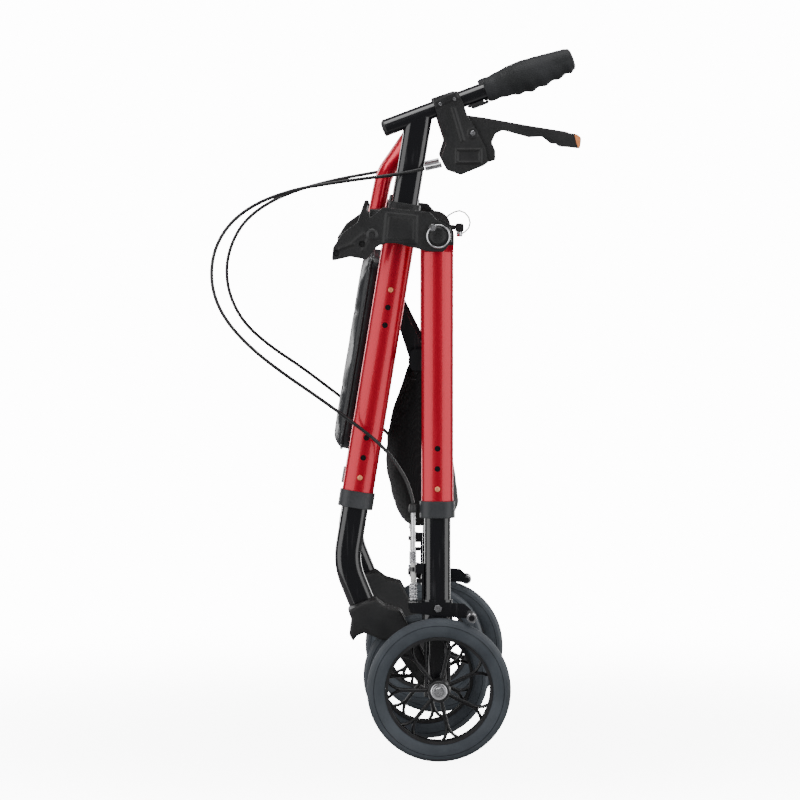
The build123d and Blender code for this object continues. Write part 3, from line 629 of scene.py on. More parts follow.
# ---- Moulded parts --------------------------------------------------------
# Glass-filled nylon: the side brackets, the caster forks, the brake housings
# and levers. Each has ribs, panels and screw bosses moulded in one with it,
# and every edge is eased by the mould.
def slab(form, outline, y_low, y_high):
    """A flat block whose side view is the outline, in metres, between two widths."""
    near = [form.verts.new((x, y_low, z)) for x, z in outline]
    far = [form.verts.new((x, y_high, z)) for x, z in outline]
    form.faces.new(near)
    form.faces.new(far[::-1])
    for k in range(len(outline)):
        j = (k + 1) % len(outline)
        form.faces.new((near[j], near[k], far[k], far[j]))


def round_slab(form, x, z, radius, y_low, y_high, steps=32):
    edge = [(x + radius * math.cos(t), z + radius * math.sin(t)) for t in round_steps(steps)]
    slab(form, edge, y_low, y_high)


def settle(piece):
    """Turns an object's modifiers into plain mesh."""
    bpy.context.view_layer.update()
    mesh = bpy.data.meshes.new_from_object(piece.evaluated_get(bpy.context.evaluated_depsgraph_get()))
    piece.modifiers.clear()
    piece.data = mesh


def moulded(stem, node, body, material, extras, voxel=0.0012, ease=4, keep=0.30):
    """Left and right mouldings: the CAD shape with its extras fused on and its edges eased."""
    form = bmesh.new()
    form.from_mesh(nodes[node + "left"].data)
    bmesh.ops.remove_doubles(form, verts=form.verts, dist=1e-6)
    extras(form)
    bmesh.ops.recalc_face_normals(form, faces=form.faces)
    mesh = bpy.data.meshes.new(stem)
    form.to_mesh(mesh)
    form.free()
    cast = bpy.data.objects.new(stem, mesh)
    bpy.context.scene.collection.objects.link(cast)
    remesh = cast.modifiers.new("fuse", "REMESH")
    remesh.mode, remesh.voxel_size = "VOXEL", voxel
    smooth = cast.modifiers.new("ease", "SMOOTH")
    smooth.factor, smooth.iterations = 0.5, ease
    fewer = cast.modifiers.new("thin", "DECIMATE")
    fewer.ratio = keep
    settle(cast)
    for side, sign in (("left", 1), ("right", -1)):
        form = bmesh.new()
        form.from_mesh(cast.data)
        bmesh.ops.transform(form, matrix=Matrix.Diagonal((1, sign, 1, 1)), verts=form.verts)
        home = body + side if body.endswith("_") else body
        finished(stem + "_" + side, form, material, home, 42, (node + side,))
    bpy.data.objects.remove(cast)


def frame_joint(name):
    """A joint's place in the row frame."""
    return next(j["pos_m"] for j in frame["joints"] if j["name"] == name)


def bracket_extras(form):
    """Raised panel of the arm, a smaller panel stepped on it, and three ribs."""
    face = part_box("side_bracket_left")[0].y
    proud = face - 0.0016
    pivot = frame_joint("fold")
    px, pz = pivot[0], pivot[2]
    slab(form, [(px - 0.076, pz - 0.010), (px - 0.030, pz - 0.010), (px - 0.029, pz + 0.029),
                (px - 0.072, pz + 0.033)], proud, face + 0.002)
    slab(form, [(px - 0.071, pz - 0.005), (px - 0.035, pz - 0.005), (px - 0.034, pz + 0.024),
                (px - 0.068, pz + 0.027)], proud - 0.0008, face + 0.002)
    ribs = ((-0.098, -0.006, 62, 0.032), (-0.113, -0.004, 40, 0.026), (-0.128, -0.014, 20, 0.022))
    for x, z, angle, length in ribs:
        way = (math.cos(math.radians(angle)), math.sin(math.radians(angle)))
        off = (-way[1] * 0.0012, way[0] * 0.0012)
        a = (px + x - way[0] * length / 2, pz + z - way[1] * length / 2)
        b = (px + x + way[0] * length / 2, pz + z + way[1] * length / 2)
        slab(form, [(a[0] - off[0], a[1] - off[1]), (b[0] - off[0], b[1] - off[1]),
                    (b[0] + off[0], b[1] + off[1]), (a[0] + off[0], a[1] + off[1])], proud, face + 0.002)


def housing_extras(form):
    """Clamp band with its step, the long ridge and the frame of the sunk oblong."""
    x, _, z = frame_joint("brake_lever_squeeze_left")
    low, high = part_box("brake_housing_left")
    for face, inward in ((low.y, 1), (high.y, -1)):
        y0, y1 = sorted((face - inward * 0.0014, face + inward * 0.002))
        slab(form, [(x - 0.055, z + 0.044), (x - 0.024, z + 0.058), (x - 0.021, z + 0.050),
                    (x - 0.052, z + 0.036)], y0, y1)
        slab(form, [(x - 0.030, z + 0.036), (x - 0.026, z + 0.036), (x - 0.012, z - 0.010),
                    (x - 0.016, z - 0.012)], y0, y1)
        rails = (((-0.024, -0.022), (0.012, -0.022), (0.012, -0.0245), (-0.024, -0.0245)),
                 ((-0.024, -0.040), (0.012, -0.040), (0.012, -0.0425), (-0.024, -0.0425)),
                 ((-0.024, -0.022), (-0.0215, -0.022), (-0.0215, -0.0425), (-0.024, -0.0425)),
                 ((0.0095, -0.022), (0.012, -0.022), (0.012, -0.0425), (0.0095, -0.0425)))
        for rail in rails:
            slab(form, [(x + a, z + b) for a, b in rail], y0, y1)
    round_slab(form, x, z, 0.0075, low.y - 0.0012, low.y + 0.002)
    round_slab(form, x, z, 0.0075, high.y - 0.002, high.y + 0.0012)


def lever_extras(form):
    """A rounded lobe under the blade near its end, where the last finger rests."""
    x, _, z = frame_joint("brake_lever_squeeze_left")
    low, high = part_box("brake_lever_left")
    round_slab(form, x + 0.1270, z - 0.0135, 0.0062, low.y + 0.0008, high.y - 0.0008, 24)


def fork_extras(form):
    """Crown collar on the stem and cheek bosses at the axle."""
    x, y, z = frame_joint("caster_swivel_left")
    lean = math.radians(22)
    down = Vector((math.sin(lean), 0, -math.cos(lean)))
    crown = Vector((x, y, z))
    turned(form, crown, [(0.0005, 0.0062), (0.0005, 0.0200), (0.004, 0.0225), (0.014, 0.0235), (0.020, 0.021),
                         (0.020, 0.0062)], 40, down)
    axle = frame_joint("front_wheel_spin_left")
    low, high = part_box("caster_fork_left")
    for face, inward in ((low.y + 0.003, 1), (high.y - 0.003, -1)):
        y0, y1 = sorted((face - inward * 0.0015, face + inward * 0.002))
        round_slab(form, axle[0], axle[2], 0.0125, y0, y1)


black_moulding = nylon_finish("black_moulding", (0.005, 0.005, 0.006), (0.012, 0.012, 0.013), 0.46)
moulded("bracket_moulding", "side_bracket_", "front_frame", black_moulding, bracket_extras)
moulded("housing_moulding", "brake_housing_", "handle_", black_moulding, housing_extras, 0.0010)
moulded("lever_moulding", "brake_lever_", "brake_lever_", black_moulding, lever_extras, 0.0009, 3)
moulded("fork_moulding", "caster_fork_", "caster_", black_moulding, fork_extras, 0.0013, 14)

# ---- Grips ----------------------------------------------------------------
# Soft rubber sleeves moulded over the handle tubes: swollen in the middle,
# with finger waves under the far half, a collar at the near end, a domed end
# and fine rings of grip ribs.
def grip_finish():
    finish = Finish("grip_rubber", Specular_IOR_Level=0.25)
    cells = {"Vector": finish.here, "Scale": 620.0}
    pebble = finish.node("ShaderNodeTexVoronoi", {"feature": "SMOOTH_F1"}, cells)
    worn = finish.between(finish.grain(22, 4), 0.4, 0.7)
    colour = finish.blend(worn, (0.014, 0.015, 0.016), (0.030, 0.031, 0.034))
    return finish.wear(Base_Color=colour, Roughness=worn * 0.12 + 0.56, Normal=finish.relief(pebble, 0.0005))


grip_rubber = grip_finish()
rise = math.radians(20.5)
handle_front_x, handle_front_z, handle_length = -0.0744, 0.891, 0.2825
grip_length = 0.1326
handle_way = Vector((math.cos(rise), 0, math.sin(rise)))
handle_up = Vector((-math.sin(rise), 0, math.cos(rise)))
grip_stops = ((0, 15.5), (4, 17.0), (10, 17.2), (16, 16.6), (30, 18.6), (52, 21.4), (68, 22.0), (88, 20.6),
              (108, 18.4), (122, 17.2), (129, 15.4), (131.5, 12.0), (132.4, 6.0), (132.6, 0.01))


def along_stops(stops, place):
    for (a, low), (b, high) in zip(stops, stops[1:]):
        if place <= b:
            share = (place - a) / (b - a)
            share = share * share * (3 - 2 * share)
            return low + (high - low) * share
    return stops[-1][1]


for side, sign in (("left", -1), ("right", 1)):
    low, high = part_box("grip_" + side)
    y = (low.y + high.y) / 2
    end = Vector((handle_front_x, y, handle_front_z)) + handle_way * handle_length
    start = end - handle_way * grip_length
    form = bmesh.new()
    rings = []
    places = [k * 1.0 for k in range(125)] + [125 + k * 0.4 for k in range(20)]
    for place in places:
        ring = []
        for turn in round_steps(64):
            radius = along_stops(grip_stops, place)
            under = max(0.0, -math.sin(turn)) ** 0.7
            fade = min(1.0, max(0.0, (place - 34) / 14)) * min(1.0, max(0.0, (128 - place) / 6))
            radius += under * fade * (1.1 + 1.5 * math.cos(2 * math.pi * (place - 62) / 21.0))
            if 18 < place < 118:
                radius += 0.35 * max(0.0, math.sin(2 * math.pi * place / 2.5)) * max(0.0, math.sin(turn)) ** 2
            out = handle_up * math.sin(turn) + Vector((0, 1, 0)) * math.cos(turn)
            ring.append(form.verts.new(start + handle_way * place * mm + out * radius * mm))
        rings.append(ring)
    skin_rings(form, rings)
    form.faces.new(rings[-1])
    form.faces.new(rings[0][::-1])
    finished("grip_sleeve_" + side, form, grip_rubber, "handle_" + side, 60, ("grip_" + side,))

# ---- Handle end caps and clamp screws -------------------------------------
# A black cap closes each handle tube in front. Two socket screws pull the
# brake housing's clamp round the tube, and a third is the lever's pivot.
for side, sign in (("left", -1), ("right", 1)):
    y = sign * (abs(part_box("grip_left")[0].y) + abs(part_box("grip_left")[1].y)) / 2
    head = Vector((handle_front_x, y, handle_front_z))
    form = bmesh.new()
    turned(form, head, [(0.0, 0.0), (0.0, 0.0108), (-0.0022, 0.0116), (-0.0040, 0.0108), (-0.0052, 0.0075),
                        (-0.0056, 0.0)], 40, handle_way, closed=False)
    finished("handle_end_cap_" + side, form, black_nylon, "handle_" + side, 50)
    form = bmesh.new()
    x, _, z = frame_joint("brake_lever_squeeze_" + side)
    face = abs(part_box("brake_housing_left")[0].y)
    for dx, dz in ((-0.046, 0.041), (-0.026, 0.048)):
        spot = Vector((x + dx, sign * (face + 0.0010), z + dz))
        hex_profile(form, spot, Vector((0, sign, 0)), 0.0050, 0.0022, 0.0015)
    spot = Vector((x, sign * (face + 0.0008), z))
    hex_profile(form, spot, Vector((0, sign, 0)), 0.0070, 0.0022, 0.0020)
    finished("housing_screws_" + side, form, zinc, "handle_" + side, 30)


# ---- Clamp lips -----------------------------------------------------------
# The lip of the housing clamp runs on under the handle as far as the grip.
for side in ("left", "right"):
    low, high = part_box("grip_" + side)
    y = (low.y + high.y) / 2
    form = bmesh.new()
    lip = [(0.0455, 0.9215), (0.0705, 0.9310), (0.0712, 0.9265), (0.0475, 0.9175)]
    slab(form, lip, y - 0.0075, y + 0.0075)
    bmesh.ops.bevel(form, geom=form.edges[:], offset=0.0012, segments=2, affect="EDGES")
    finished("clamp_lip_" + side, form, black_nylon, "handle_" + side, 40)


# ---- Lever tips -----------------------------------------------------------
# A coppery reflector is snapped into the end of each brake lever.
def reflector_finish():
    finish = Finish("lever_reflector", Coat_Weight=1.0, Coat_Roughness=0.05, Specular_IOR_Level=0.6)
    cells = {"Vector": finish.here, "Scale": 900.0}
    prism = finish.node("ShaderNodeTexVoronoi", {"distance": "CHEBYCHEV"}, cells)
    colour = finish.blend(prism, (0.75, 0.20, 0.05), (0.95, 0.36, 0.12))
    return finish.wear(Base_Color=colour, Roughness=prism * 0.1 + 0.2, Normal=finish.relief(prism, 0.0004))


reflector = reflector_finish()
for side, sign in (("left", -1), ("right", 1)):
    x, y, z = frame_joint("brake_lever_squeeze_" + side)
    form = bmesh.new()
    slab(form, [(x + 0.1425, z - 0.0015), (x + 0.147, z - 0.0012), (x + 0.1532, z - 0.0062),
                (x + 0.1528, z - 0.013), (x + 0.1512, z - 0.0214), (x + 0.1475, z - 0.0210),
                (x + 0.1455, z - 0.010)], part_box("brake_lever_" + side)[0].y - 0.0006,
         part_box("brake_lever_" + side)[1].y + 0.0006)
    bmesh.ops.bevel(form, geom=form.edges[:], offset=0.0009, segments=2, affect="EDGES")
    finished("lever_reflector_" + side, form, reflector, "brake_lever_" + side, 60)

# ---- Fold pivots and lock pins --------------------------------------------
# A domed black cap covers each pivot bolt. The spring lock pin beside it has
# a steel pull ring that hangs round the cap.
for side, sign in (("left", -1), ("right", 1)):
    px, _, pz = frame_joint("fold")
    cap_out = abs(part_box("pivot_bolts")[0].y)
    out = Vector((0, sign, 0))
    form = bmesh.new()
    centre = Vector((px, 0, pz))
    cap_in = cap_out - 0.006
    turned(form, centre, stood(sign, cap_in, (
        (0.0, 0.0), (0.0, 0.0138), (0.0035, 0.0140), (0.0052, 0.0128), (0.0060, 0.0098), (0.0056, 0.0090),
        (0.0056, 0.0045), (0.0050, 0.0040), (0.0050, 0.0))), 56, closed=False)
    inner = abs(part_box("rear_tube_left")[1].y)
    washer = ((-0.0030, 0.0), (-0.0030, 0.0095), (-0.0005, 0.0100), (-0.0002, 0.0))
    turned(form, centre, stood(sign, inner, washer), 40, closed=False)
    turned(form, centre, [(sign * (inner - 0.0002), 0.0), (sign * (inner - 0.0002), 0.006),
                          (sign * cap_in, 0.006), (sign * cap_in, 0.0)], 32, closed=False)
    replaced = ("pivot_bolts",) if side == "left" else ()
    finished("pivot_cap_" + side, form, black_moulding, "front_frame", 40, replaced)
    low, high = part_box("lock_pin_" + side)
    ring_low = low if sign < 0 else high
    ring_y = abs(ring_low.y) - 0.0012
    form = bmesh.new()
    steps = 72
    ring_at = Vector((px + 0.001, 0, pz))
    loop = [ring_at + Vector((0.0158 * math.cos(t), sign * ring_y, 0.0158 * math.sin(t)))
            for t in round_steps(steps)]
    tube(form, loop, 0.00115, 10, closed=True)
    pin = Vector((px - 0.007, 0, pz + 0.012))
    head = cap_out - 0.0055
    turned(form, pin, [
        (sign * (inner + 0.021), 0.0), (sign * (inner + 0.021), 0.0030), (sign * head, 0.0030),
        (sign * head, 0.0058), (sign * (head + 0.0070), 0.0060), (sign * (head + 0.0088), 0.0048),
        (sign * (head + 0.0090), 0.0),
    ], 32, closed=False)
    finished("lock_pin_ring_" + side, form, zinc, "lock_pin_" + side, 40, ("lock_pin_" + side,))

# ---- Hole plugs -----------------------------------------------------------
# A blind web inside each backrest hole of the bracket, as the mould leaves it.
for side, sign in (("left", -1), ("right", 1)):
    for end in ("front", "rear"):
        hole = f"backrest_{end}_hole_{side}"
        spot = next(m for m in frame["record"]["mounts"] if m["name"] == hole)["pos_m"]
        form = bmesh.new()
        deep = spot[1] - sign * 0.0010
        near, far = sorted((deep, deep - sign * 0.0015))
        round_slab(form, spot[0], spot[2], 0.00425, near, far, 28)
        finished(f"backrest_{end}_web_{side}", form, black_nylon, "front_frame", 40)

# ---- Tube end sleeves -----------------------------------------------------
# Black nylon closes the tops of the red tubes: a hood over the round end of
# each rear tube, and an oval sleeve that guides each handle post.
def oval_sleeve(form, foot, way, length, outer, inner):
    """A flat-oval ring standing on foot along way; outer and inner are (depth, width)."""
    across = Vector((0, 1, 0)).cross(way).normalized()
    rings = []
    eased = (outer[0] - 0.002, outer[1] - 0.002)
    for (depth, width), along in (
            (outer, 0.0), (outer, length - 0.0012), (eased, length), (inner, length), (inner, 0.0)):
        ring = []
        for turn in round_steps(64):
            shift = math.copysign((depth - width) / 2, math.cos(turn))
            point = across * (shift + width / 2 * math.cos(turn)) + Vector((0, width / 2 * math.sin(turn), 0))
            ring.append(form.verts.new(foot + way * along + point))
        rings.append(ring)
    rings.append(rings[0])
    skin_rings(form, rings)


for side, sign in (("left", -1), ("right", 1)):
    px, _, pz = frame_joint("fold")
    low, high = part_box("rear_tube_" + side)
    reach = high.z - pz + 0.0007
    hood = [(px + reach * math.cos(t), pz + reach * math.sin(t))
            for t in (math.pi * k / 32 for k in range(33))]
    form = bmesh.new()
    skirt = pz - 0.013
    slab(form, [(px + reach, skirt)] + hood + [(px - reach, skirt)], low.y - 0.0001, high.y + 0.0001)
    finished("rear_tube_hood_" + side, form, black_moulding, "rear_frame", 30)
    low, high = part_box("front_tube_" + side)
    way = Vector((math.sin(front_lean), 0, math.cos(front_lean)))
    half_depth = 0.045 / 2
    top = Vector((high.x - half_depth * math.cos(front_lean), (low.y + high.y) / 2,
                  high.z - half_depth * math.sin(front_lean)))
    form = bmesh.new()
    oval_sleeve(form, top - way * 0.017, way, 0.019, (0.0464, 0.0264), (0.0384, 0.0208))
    finished("front_tube_sleeve_" + side, form, black_moulding, "front_frame", 40)

# ---- Bracket bolts --------------------------------------------------------
# One domed black bolt head holds the arm of each bracket to its insert.
for side, sign in (("left", -1), ("right", 1)):
    face = abs(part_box("side_bracket_left")[0].y)
    form = bmesh.new()
    px, _, pz = frame_joint("fold")
    turned(form, Vector((px - 0.092, 0, pz + 0.002)), stood(sign, face, (
        (-0.003, 0.0), (-0.003, 0.0088), (0.0004, 0.0088), (0.0018, 0.0072), (0.0024, 0.0045),
        (0.0010, 0.0036), (0.0010, 0.0))), 40, closed=False)
    finished("bracket_bolt_" + side, form, black_nylon, "front_frame", 40)

# ---- Pin keeper -----------------------------------------------------------
# On the far side a black wire keeper holds the lock pin to the bracket, with
# a zinc ferrule and a small moulded block at its end.
keeper_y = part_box("side_bracket_right")[1].y - 0.0045
form = bmesh.new()
keeper = [Vector((x * mm, keeper_y, z * mm)) for x, z in (
    (14, 752), (20, 757), (27, 761), (35, 763), (43, 760), (49, 753), (51, 745), (49, 737), (43, 731),
    (38, 728))]
tube(form, keeper, 0.0011, 10)
finished("pin_keeper_wire", form, black_nylon, "front_frame", 60)
form = bmesh.new()
slab(form, [(0.0285, 0.7316), (0.0285, 0.7420), (0.0305, 0.7440), (0.0395, 0.7440), (0.0415, 0.7420),
            (0.0415, 0.7316)], keeper_y - 0.005, keeper_y + 0.005)
slab(form, [(0.008, 0.7335), (0.008, 0.7425), (0.0290, 0.7415), (0.0290, 0.7345)], keeper_y - 0.0035,
     keeper_y + 0.0035)
bmesh.ops.bevel(form, geom=form.edges[:], offset=0.0010, segments=2, affect="EDGES")
finished("pin_keeper_block", form, black_moulding, "front_frame", 40)
form = bmesh.new()
turned(form, Vector((0.0350, keeper_y, 0)), [
    (0.7240, 0.0), (0.7240, 0.0040), (0.7250, 0.0046), (0.7308, 0.0046), (0.7318, 0.0040), (0.7318, 0.0),
], 28, Vector((0, 0, 1)), closed=False)
finished("pin_keeper_ferrule", form, zinc, "front_frame", 45)

# ---- Brake linkage --------------------------------------------------------
# A black coupling, a plated and knurled adjuster, a white nylon barrel, an
# open coil spring and its seat stand on one line down the leg. A bent wire
# hook keeps them in place.
# The arm below turns on a hex bolt and presses a knurled shoe on the tyre.
def barrel_finish():
    finish = Finish("white_barrel", Specular_IOR_Level=0.5)
    tone = finish.between(finish.grain(120, 3), 0.3, 0.8)
    colour = finish.blend(tone, (0.62, 0.62, 0.60), (0.80, 0.80, 0.78))
    return finish.wear(Base_Color=colour, Roughness=tone * 0.1 + 0.4)


def grown_mesh(name, blank_mesh, material, settings, parts, wires):
    """The mesh that Geometry Nodes grow from a blank.

    parts names the nodes with their kinds and values; wires joins them as
    "node.Socket" pairs. Whole copies and the material come last.
    """
    tree = bpy.data.node_groups.new(name, "GeometryNodeTree")
    tree.interface.new_socket("Blank", in_out="INPUT", socket_type="NodeSocketGeometry")
    named = {title: tree.interface.new_socket(title, in_out="INPUT", socket_type="NodeSocketFloat")
             for title in settings}
    tree.interface.new_socket("Grown", in_out="OUTPUT", socket_type="NodeSocketGeometry")
    made = {"given": tree.nodes.new("NodeGroupInput"), "result": tree.nodes.new("NodeGroupOutput")}
    last = {"whole": ("RealizeInstances", {}), "coat": ("SetMaterial", {"Material": material})}
    for title, (kind, values) in {**parts, **last}.items():
        made[title] = tree.nodes.new("GeometryNode" + kind)
        for socket, value in values.items():
            if socket == "mode":
                made[title].mode = value
            else:
                made[title].inputs[socket].default_value = value
    for source, target in (*wires, ("whole.Geometry", "coat.Geometry"), ("coat.Geometry", "result.Grown")):
        (giver, out), (taker, into) = source.split("."), target.split(".")
        tree.links.new(made[giver].outputs[out], made[taker].inputs[into])
    blank = bpy.data.objects.new(name, blank_mesh)
    bpy.context.scene.collection.objects.link(blank)
    growth = blank.modifiers.new("growth", "NODES")
    growth.node_group = tree
    for title, value in settings.items():
        growth[named[title].identifier] = value
    settle(blank)
    mesh = blank.data
    bpy.data.objects.remove(blank)
    return mesh


def wound_spring(turns, radius, length, wire):
    """An open coil spring standing on the origin."""
    return grown_mesh(
        "wound_spring", bpy.data.meshes.new("wound_spring"), zinc,
        {"Turns": float(turns), "Radius": radius, "Length": length, "Wire": wire},
        {"spiral": ("CurveSpiral", {"Resolution": 20}),
         "section": ("CurvePrimitiveCircle", {"Resolution": 8}),
         "swept": ("CurveToMesh", {"Fill Caps": True})},
        (("given.Turns", "spiral.Rotations"), ("given.Radius", "spiral.Start Radius"),
         ("given.Radius", "spiral.End Radius"), ("given.Length", "spiral.Height"),
         ("given.Wire", "section.Radius"), ("spiral.Curve", "swept.Curve"),
         ("section.Curve", "swept.Profile Curve"), ("swept.Mesh", "whole.Geometry")))


white_barrel = barrel_finish()
for side, sign in (("left", -1), ("right", 1)):
    low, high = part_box("cable_adjuster_" + side)
    line = Vector(((low.x + high.x) / 2, (low.y + high.y) / 2, 0))
    base, top = low.z, high.z
    up = Vector((0, 0, 1))
    home = "rear_leg_" + side
    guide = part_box("brake_bracket_" + side)[1].z
    form = bmesh.new()
    foot = top - 0.012
    turned(form, line, [(foot, 0.0), (foot, 0.0060), (top - 0.0105, 0.0065), (top - 0.002, 0.0065),
                        (top, 0.0050), (top, 0.0)], 36, up, closed=False)
    finished("cable_coupling_" + side, form, black_nylon, home, 45)
    form = bmesh.new()
    crown = guide + 0.018
    turned(form, line, [(crown, 0.0), (crown, 0.0030), (foot, 0.0030), (foot, 0.0)], 28, up, closed=False)
    knurl = []
    for k in range(7):
        z = guide + 0.0030 + 0.0020 * k
        knurl += [(z, 0.0040), (z + 0.0009, 0.0046)]
    turned(form, line, [(guide + 0.0012, 0.0), (guide + 0.0012, 0.0040), *knurl, (guide + 0.0175, 0.0038),
                        (crown, 0.0)], 32, up, closed=False)
    turned(form, line, stood(1, base, (
        (0.0, 0.0), (0.0, 0.0060), (0.0012, 0.0065), (0.0030, 0.0065), (0.0040, 0.0052), (0.0040, 0.0))),
           32, up, closed=False)
    stem, spring_high = base + 0.004, guide - 0.0280
    turned(form, line, [(stem, 0.0), (stem, 0.0014), (spring_high, 0.0014), (spring_high, 0.0)], 16, up,
           closed=False)
    spring_low = base + 0.0048
    coil = wound_spring(9, 0.0046, spring_high - spring_low, 0.0007)
    coil.transform(Matrix.Translation(line + Vector((0, 0, spring_low))))
    form.from_mesh(coil)
    finished("adjuster_and_spring_" + side, form, zinc, home, 40, ("cable_adjuster_" + side,))
    form = bmesh.new()
    turned(form, line, stood(1, guide, (
        (-0.0275, 0.0), (-0.0275, 0.0032), (-0.0262, 0.0039), (0.0004, 0.0039), (0.0012, 0.0032),
        (0.0012, 0.0))), 28, up, closed=False)
    finished("adjuster_barrel_" + side, form, white_barrel, home, 45)
    form = bmesh.new()
    hook = [line + Vector(p) for p in (
        (0.004, -0.0060, guide + 0.016), (0.000, -0.0075, guide + 0.018), (-0.004, -0.0060, guide + 0.016),
        (-0.005, -0.0050, guide + 0.008), (0.000, -0.0060, guide + 0.003), (0.010, -0.0040, guide + 0.000),
        (0.012, 0.000, guide - 0.006))]
    tube(form, hook, 0.0008, 8)
    finished("cable_hook_" + side, form, zinc, home, 60)
    brake = Vector(frame_joint("brake_arm_pivot_" + side))
    shoe_low, shoe_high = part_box("brake_shoe_" + side)
    form = bmesh.new()
    arm_in = abs(brake.y) + 0.012 + 0.0025 + 0.0006
    hex_profile(form, Vector((brake.x, sign * arm_in, brake.z)), Vector((0, sign, 0)), 0.0100, 0.0045)
    finished("brake_pivot_bolt_" + side, form, zinc, home, 30)
    form = bmesh.new()
    shoe_at = (shoe_low + shoe_high) / 2
    shoe_r = (shoe_high.z - shoe_low.z) / 2
    teeth = [shoe_r - (0.0006 if k % 2 else 0.0) for k in range(48)]
    near, far = shoe_low.y, shoe_high.y
    rings = []
    for y, scale in ((near, 0.86), (near + 0.001, 1.0), (far - 0.001, 1.0), (far, 0.86)):
        rings.append([form.verts.new((shoe_at.x + teeth[k] * scale * math.cos(2 * math.pi * k / 48), y,
                                      shoe_at.z + teeth[k] * scale * math.sin(2 * math.pi * k / 48)))
                      for k in range(48)])
    skin_rings(form, rings)
    form.faces.new(rings[0][::-1])
    form.faces.new(rings[-1])
    finished("knurled_shoe_" + side, form, zinc, "brake_arm_" + side, 20, ("brake_shoe_" + side,))


# ---- Seat -----------------------------------------------------------------
# Black vinyl over foam, pulled down at the edges, with a welt seam round its
# rim and two sewn channels across it. Blown up by cloth simulation.
def vinyl_finish():
    finish = Finish("seat_vinyl", Specular_IOR_Level=0.5)
    cells = {"Vector": finish.here, "Scale": 420.0}
    hide = finish.node("ShaderNodeTexVoronoi", {"feature": "SMOOTH_F1"}, cells)
    crease = finish.grain(18, 5)
    colour = finish.blend(finish.between(crease, 0.35, 0.7), (0.006, 0.007, 0.009), (0.014, 0.015, 0.019))
    normal = finish.relief(hide * 0.4 + crease * 0.4, 0.0003)
    return finish.wear(Base_Color=colour, Roughness=crease * 0.2 + 0.30, Normal=normal)


vinyl = vinyl_finish()
seat_up = Vector((math.sin(front_lean), 0, math.cos(front_lean)))
seat_out = Vector((-math.cos(front_lean), 0, math.sin(front_lean)))
pad_mesh = nodes["seat_pad"].data
pad_points = [v.co for v in pad_mesh.vertices]
up_low, up_high = (f(p.dot(seat_up) for p in pad_points) for f in (min, max))
out_low, out_high = (f(p.dot(seat_out) for p in pad_points) for f in (min, max))
pad_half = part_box("seat_pad")[1].y
up_low -= 0.018
out_high += 0.002
pad_length, pad_deep = up_high - up_low, out_high - out_low
pad_place = Matrix((
    (seat_up.x, 0, seat_out.x, 0), (0, 1, 0, 0), (seat_up.z, 0, seat_out.z, 0), (0, 0, 0, 1),
))
pad_middle = Vector(((up_low + up_high) / 2, 0, (out_low + out_high) / 2))


def rim_loop(inset, corner, level):
    """Points round the pad's rim, its corners rounded, at one level of its thickness."""
    half_x, half_y, loop = pad_length / 2 - inset, pad_half - inset, []
    for cx, cy, first in ((1, 1, 0), (-1, 1, 90), (-1, -1, 180), (1, -1, 270)):
        for step in range(9):
            turn = math.radians(first + 90 * step / 8)
            loop.append(Vector((cx * (half_x - corner) + corner * math.cos(turn),
                                cy * (half_y - corner) + corner * math.sin(turn), level)))
    return loop


def pad_form(inset):
    """A soft-edged block with round corners: length along x, width along y, thickness along z."""
    form = bmesh.new()
    rings = []
    half = pad_deep / 2 - inset
    for share, tuck in ((-1.0, 0.010), (-0.8, 0.003), (-0.4, 0.0), (0.4, 0.0), (0.8, 0.003), (1.0, 0.010)):
        rings.append([form.verts.new(p) for p in rim_loop(inset + tuck, 0.032 - tuck, half * share)])
    skin_rings(form, rings)
    form.faces.new(rings[0][::-1])
    form.faces.new(rings[-1])
    return form


channels = (-0.055, 0.055)
form = pad_form(0.005)
mesh = bpy.data.meshes.new("seat_cushion")
form.to_mesh(mesh)
form.free()
cushion = bpy.data.objects.new("seat_cushion", mesh)
bpy.context.scene.collection.objects.link(cushion)
voxels = cushion.modifiers.new("skin", "REMESH")
voxels.mode, voxels.voxel_size = "VOXEL", 0.005
settle(cushion)
rest = [v.co.copy() for v in cushion.data.vertices]
cloth = cushion.modifiers.new("cloth", "CLOTH")
cloth.settings.use_pressure = True
cloth.settings.uniform_pressure_force = 4.0
cloth.settings.effector_weights.gravity = 0.0
for moment in range(1, 21):
    bpy.context.scene.frame_set(moment)
settle(cushion)
bpy.context.scene.frame_set(1)
cap = 0.006
for vertex, home in zip(cushion.data.vertices, rest):
    shift = vertex.co - home
    if shift.length > cap:
        vertex.co = home + shift * (cap / shift.length)
form = bmesh.new()
form.from_mesh(cushion.data)
bpy.data.objects.remove(cushion)
bmesh.ops.subdivide_edges(form, edges=form.edges[:], cuts=1, use_grid_fill=True)
for vertex in form.verts:
    x, y, z = vertex.co
    rim = max(abs(x) / (pad_length / 2), abs(y) / pad_half)
    inside = min(1.0, max(0.0, (0.92 - rim) / 0.12))
    for channel in channels:
        vertex.co.z -= 0.0035 * math.exp(-((x - channel) / 0.004) ** 2) * (1 if z > 0 else 0) * inside
    wrinkle = noise.noise(Vector((x * 24, y * 24, z * 24 + 7)))
    vertex.co.z += 0.0004 * wrinkle * (1 if z > 0 else 0.3)
    vertex.co.x = min(max(vertex.co.x, -pad_length / 2 + 0.0005), pad_length / 2 - 0.0005)
    vertex.co.y = min(max(vertex.co.y, -pad_half + 0.0015), pad_half - 0.0015)
    vertex.co.z = min(max(vertex.co.z, -pad_deep / 2 + 0.0004), pad_deep / 2 + 0.006)
bmesh.ops.transform(form, matrix=pad_place @ Matrix.Translation(pad_middle), verts=form.verts)
skin = BVHTree.FromBMesh(form)
cushion = finished("seat_cushion", form, vinyl, "seat", 80, ("seat_pad",))


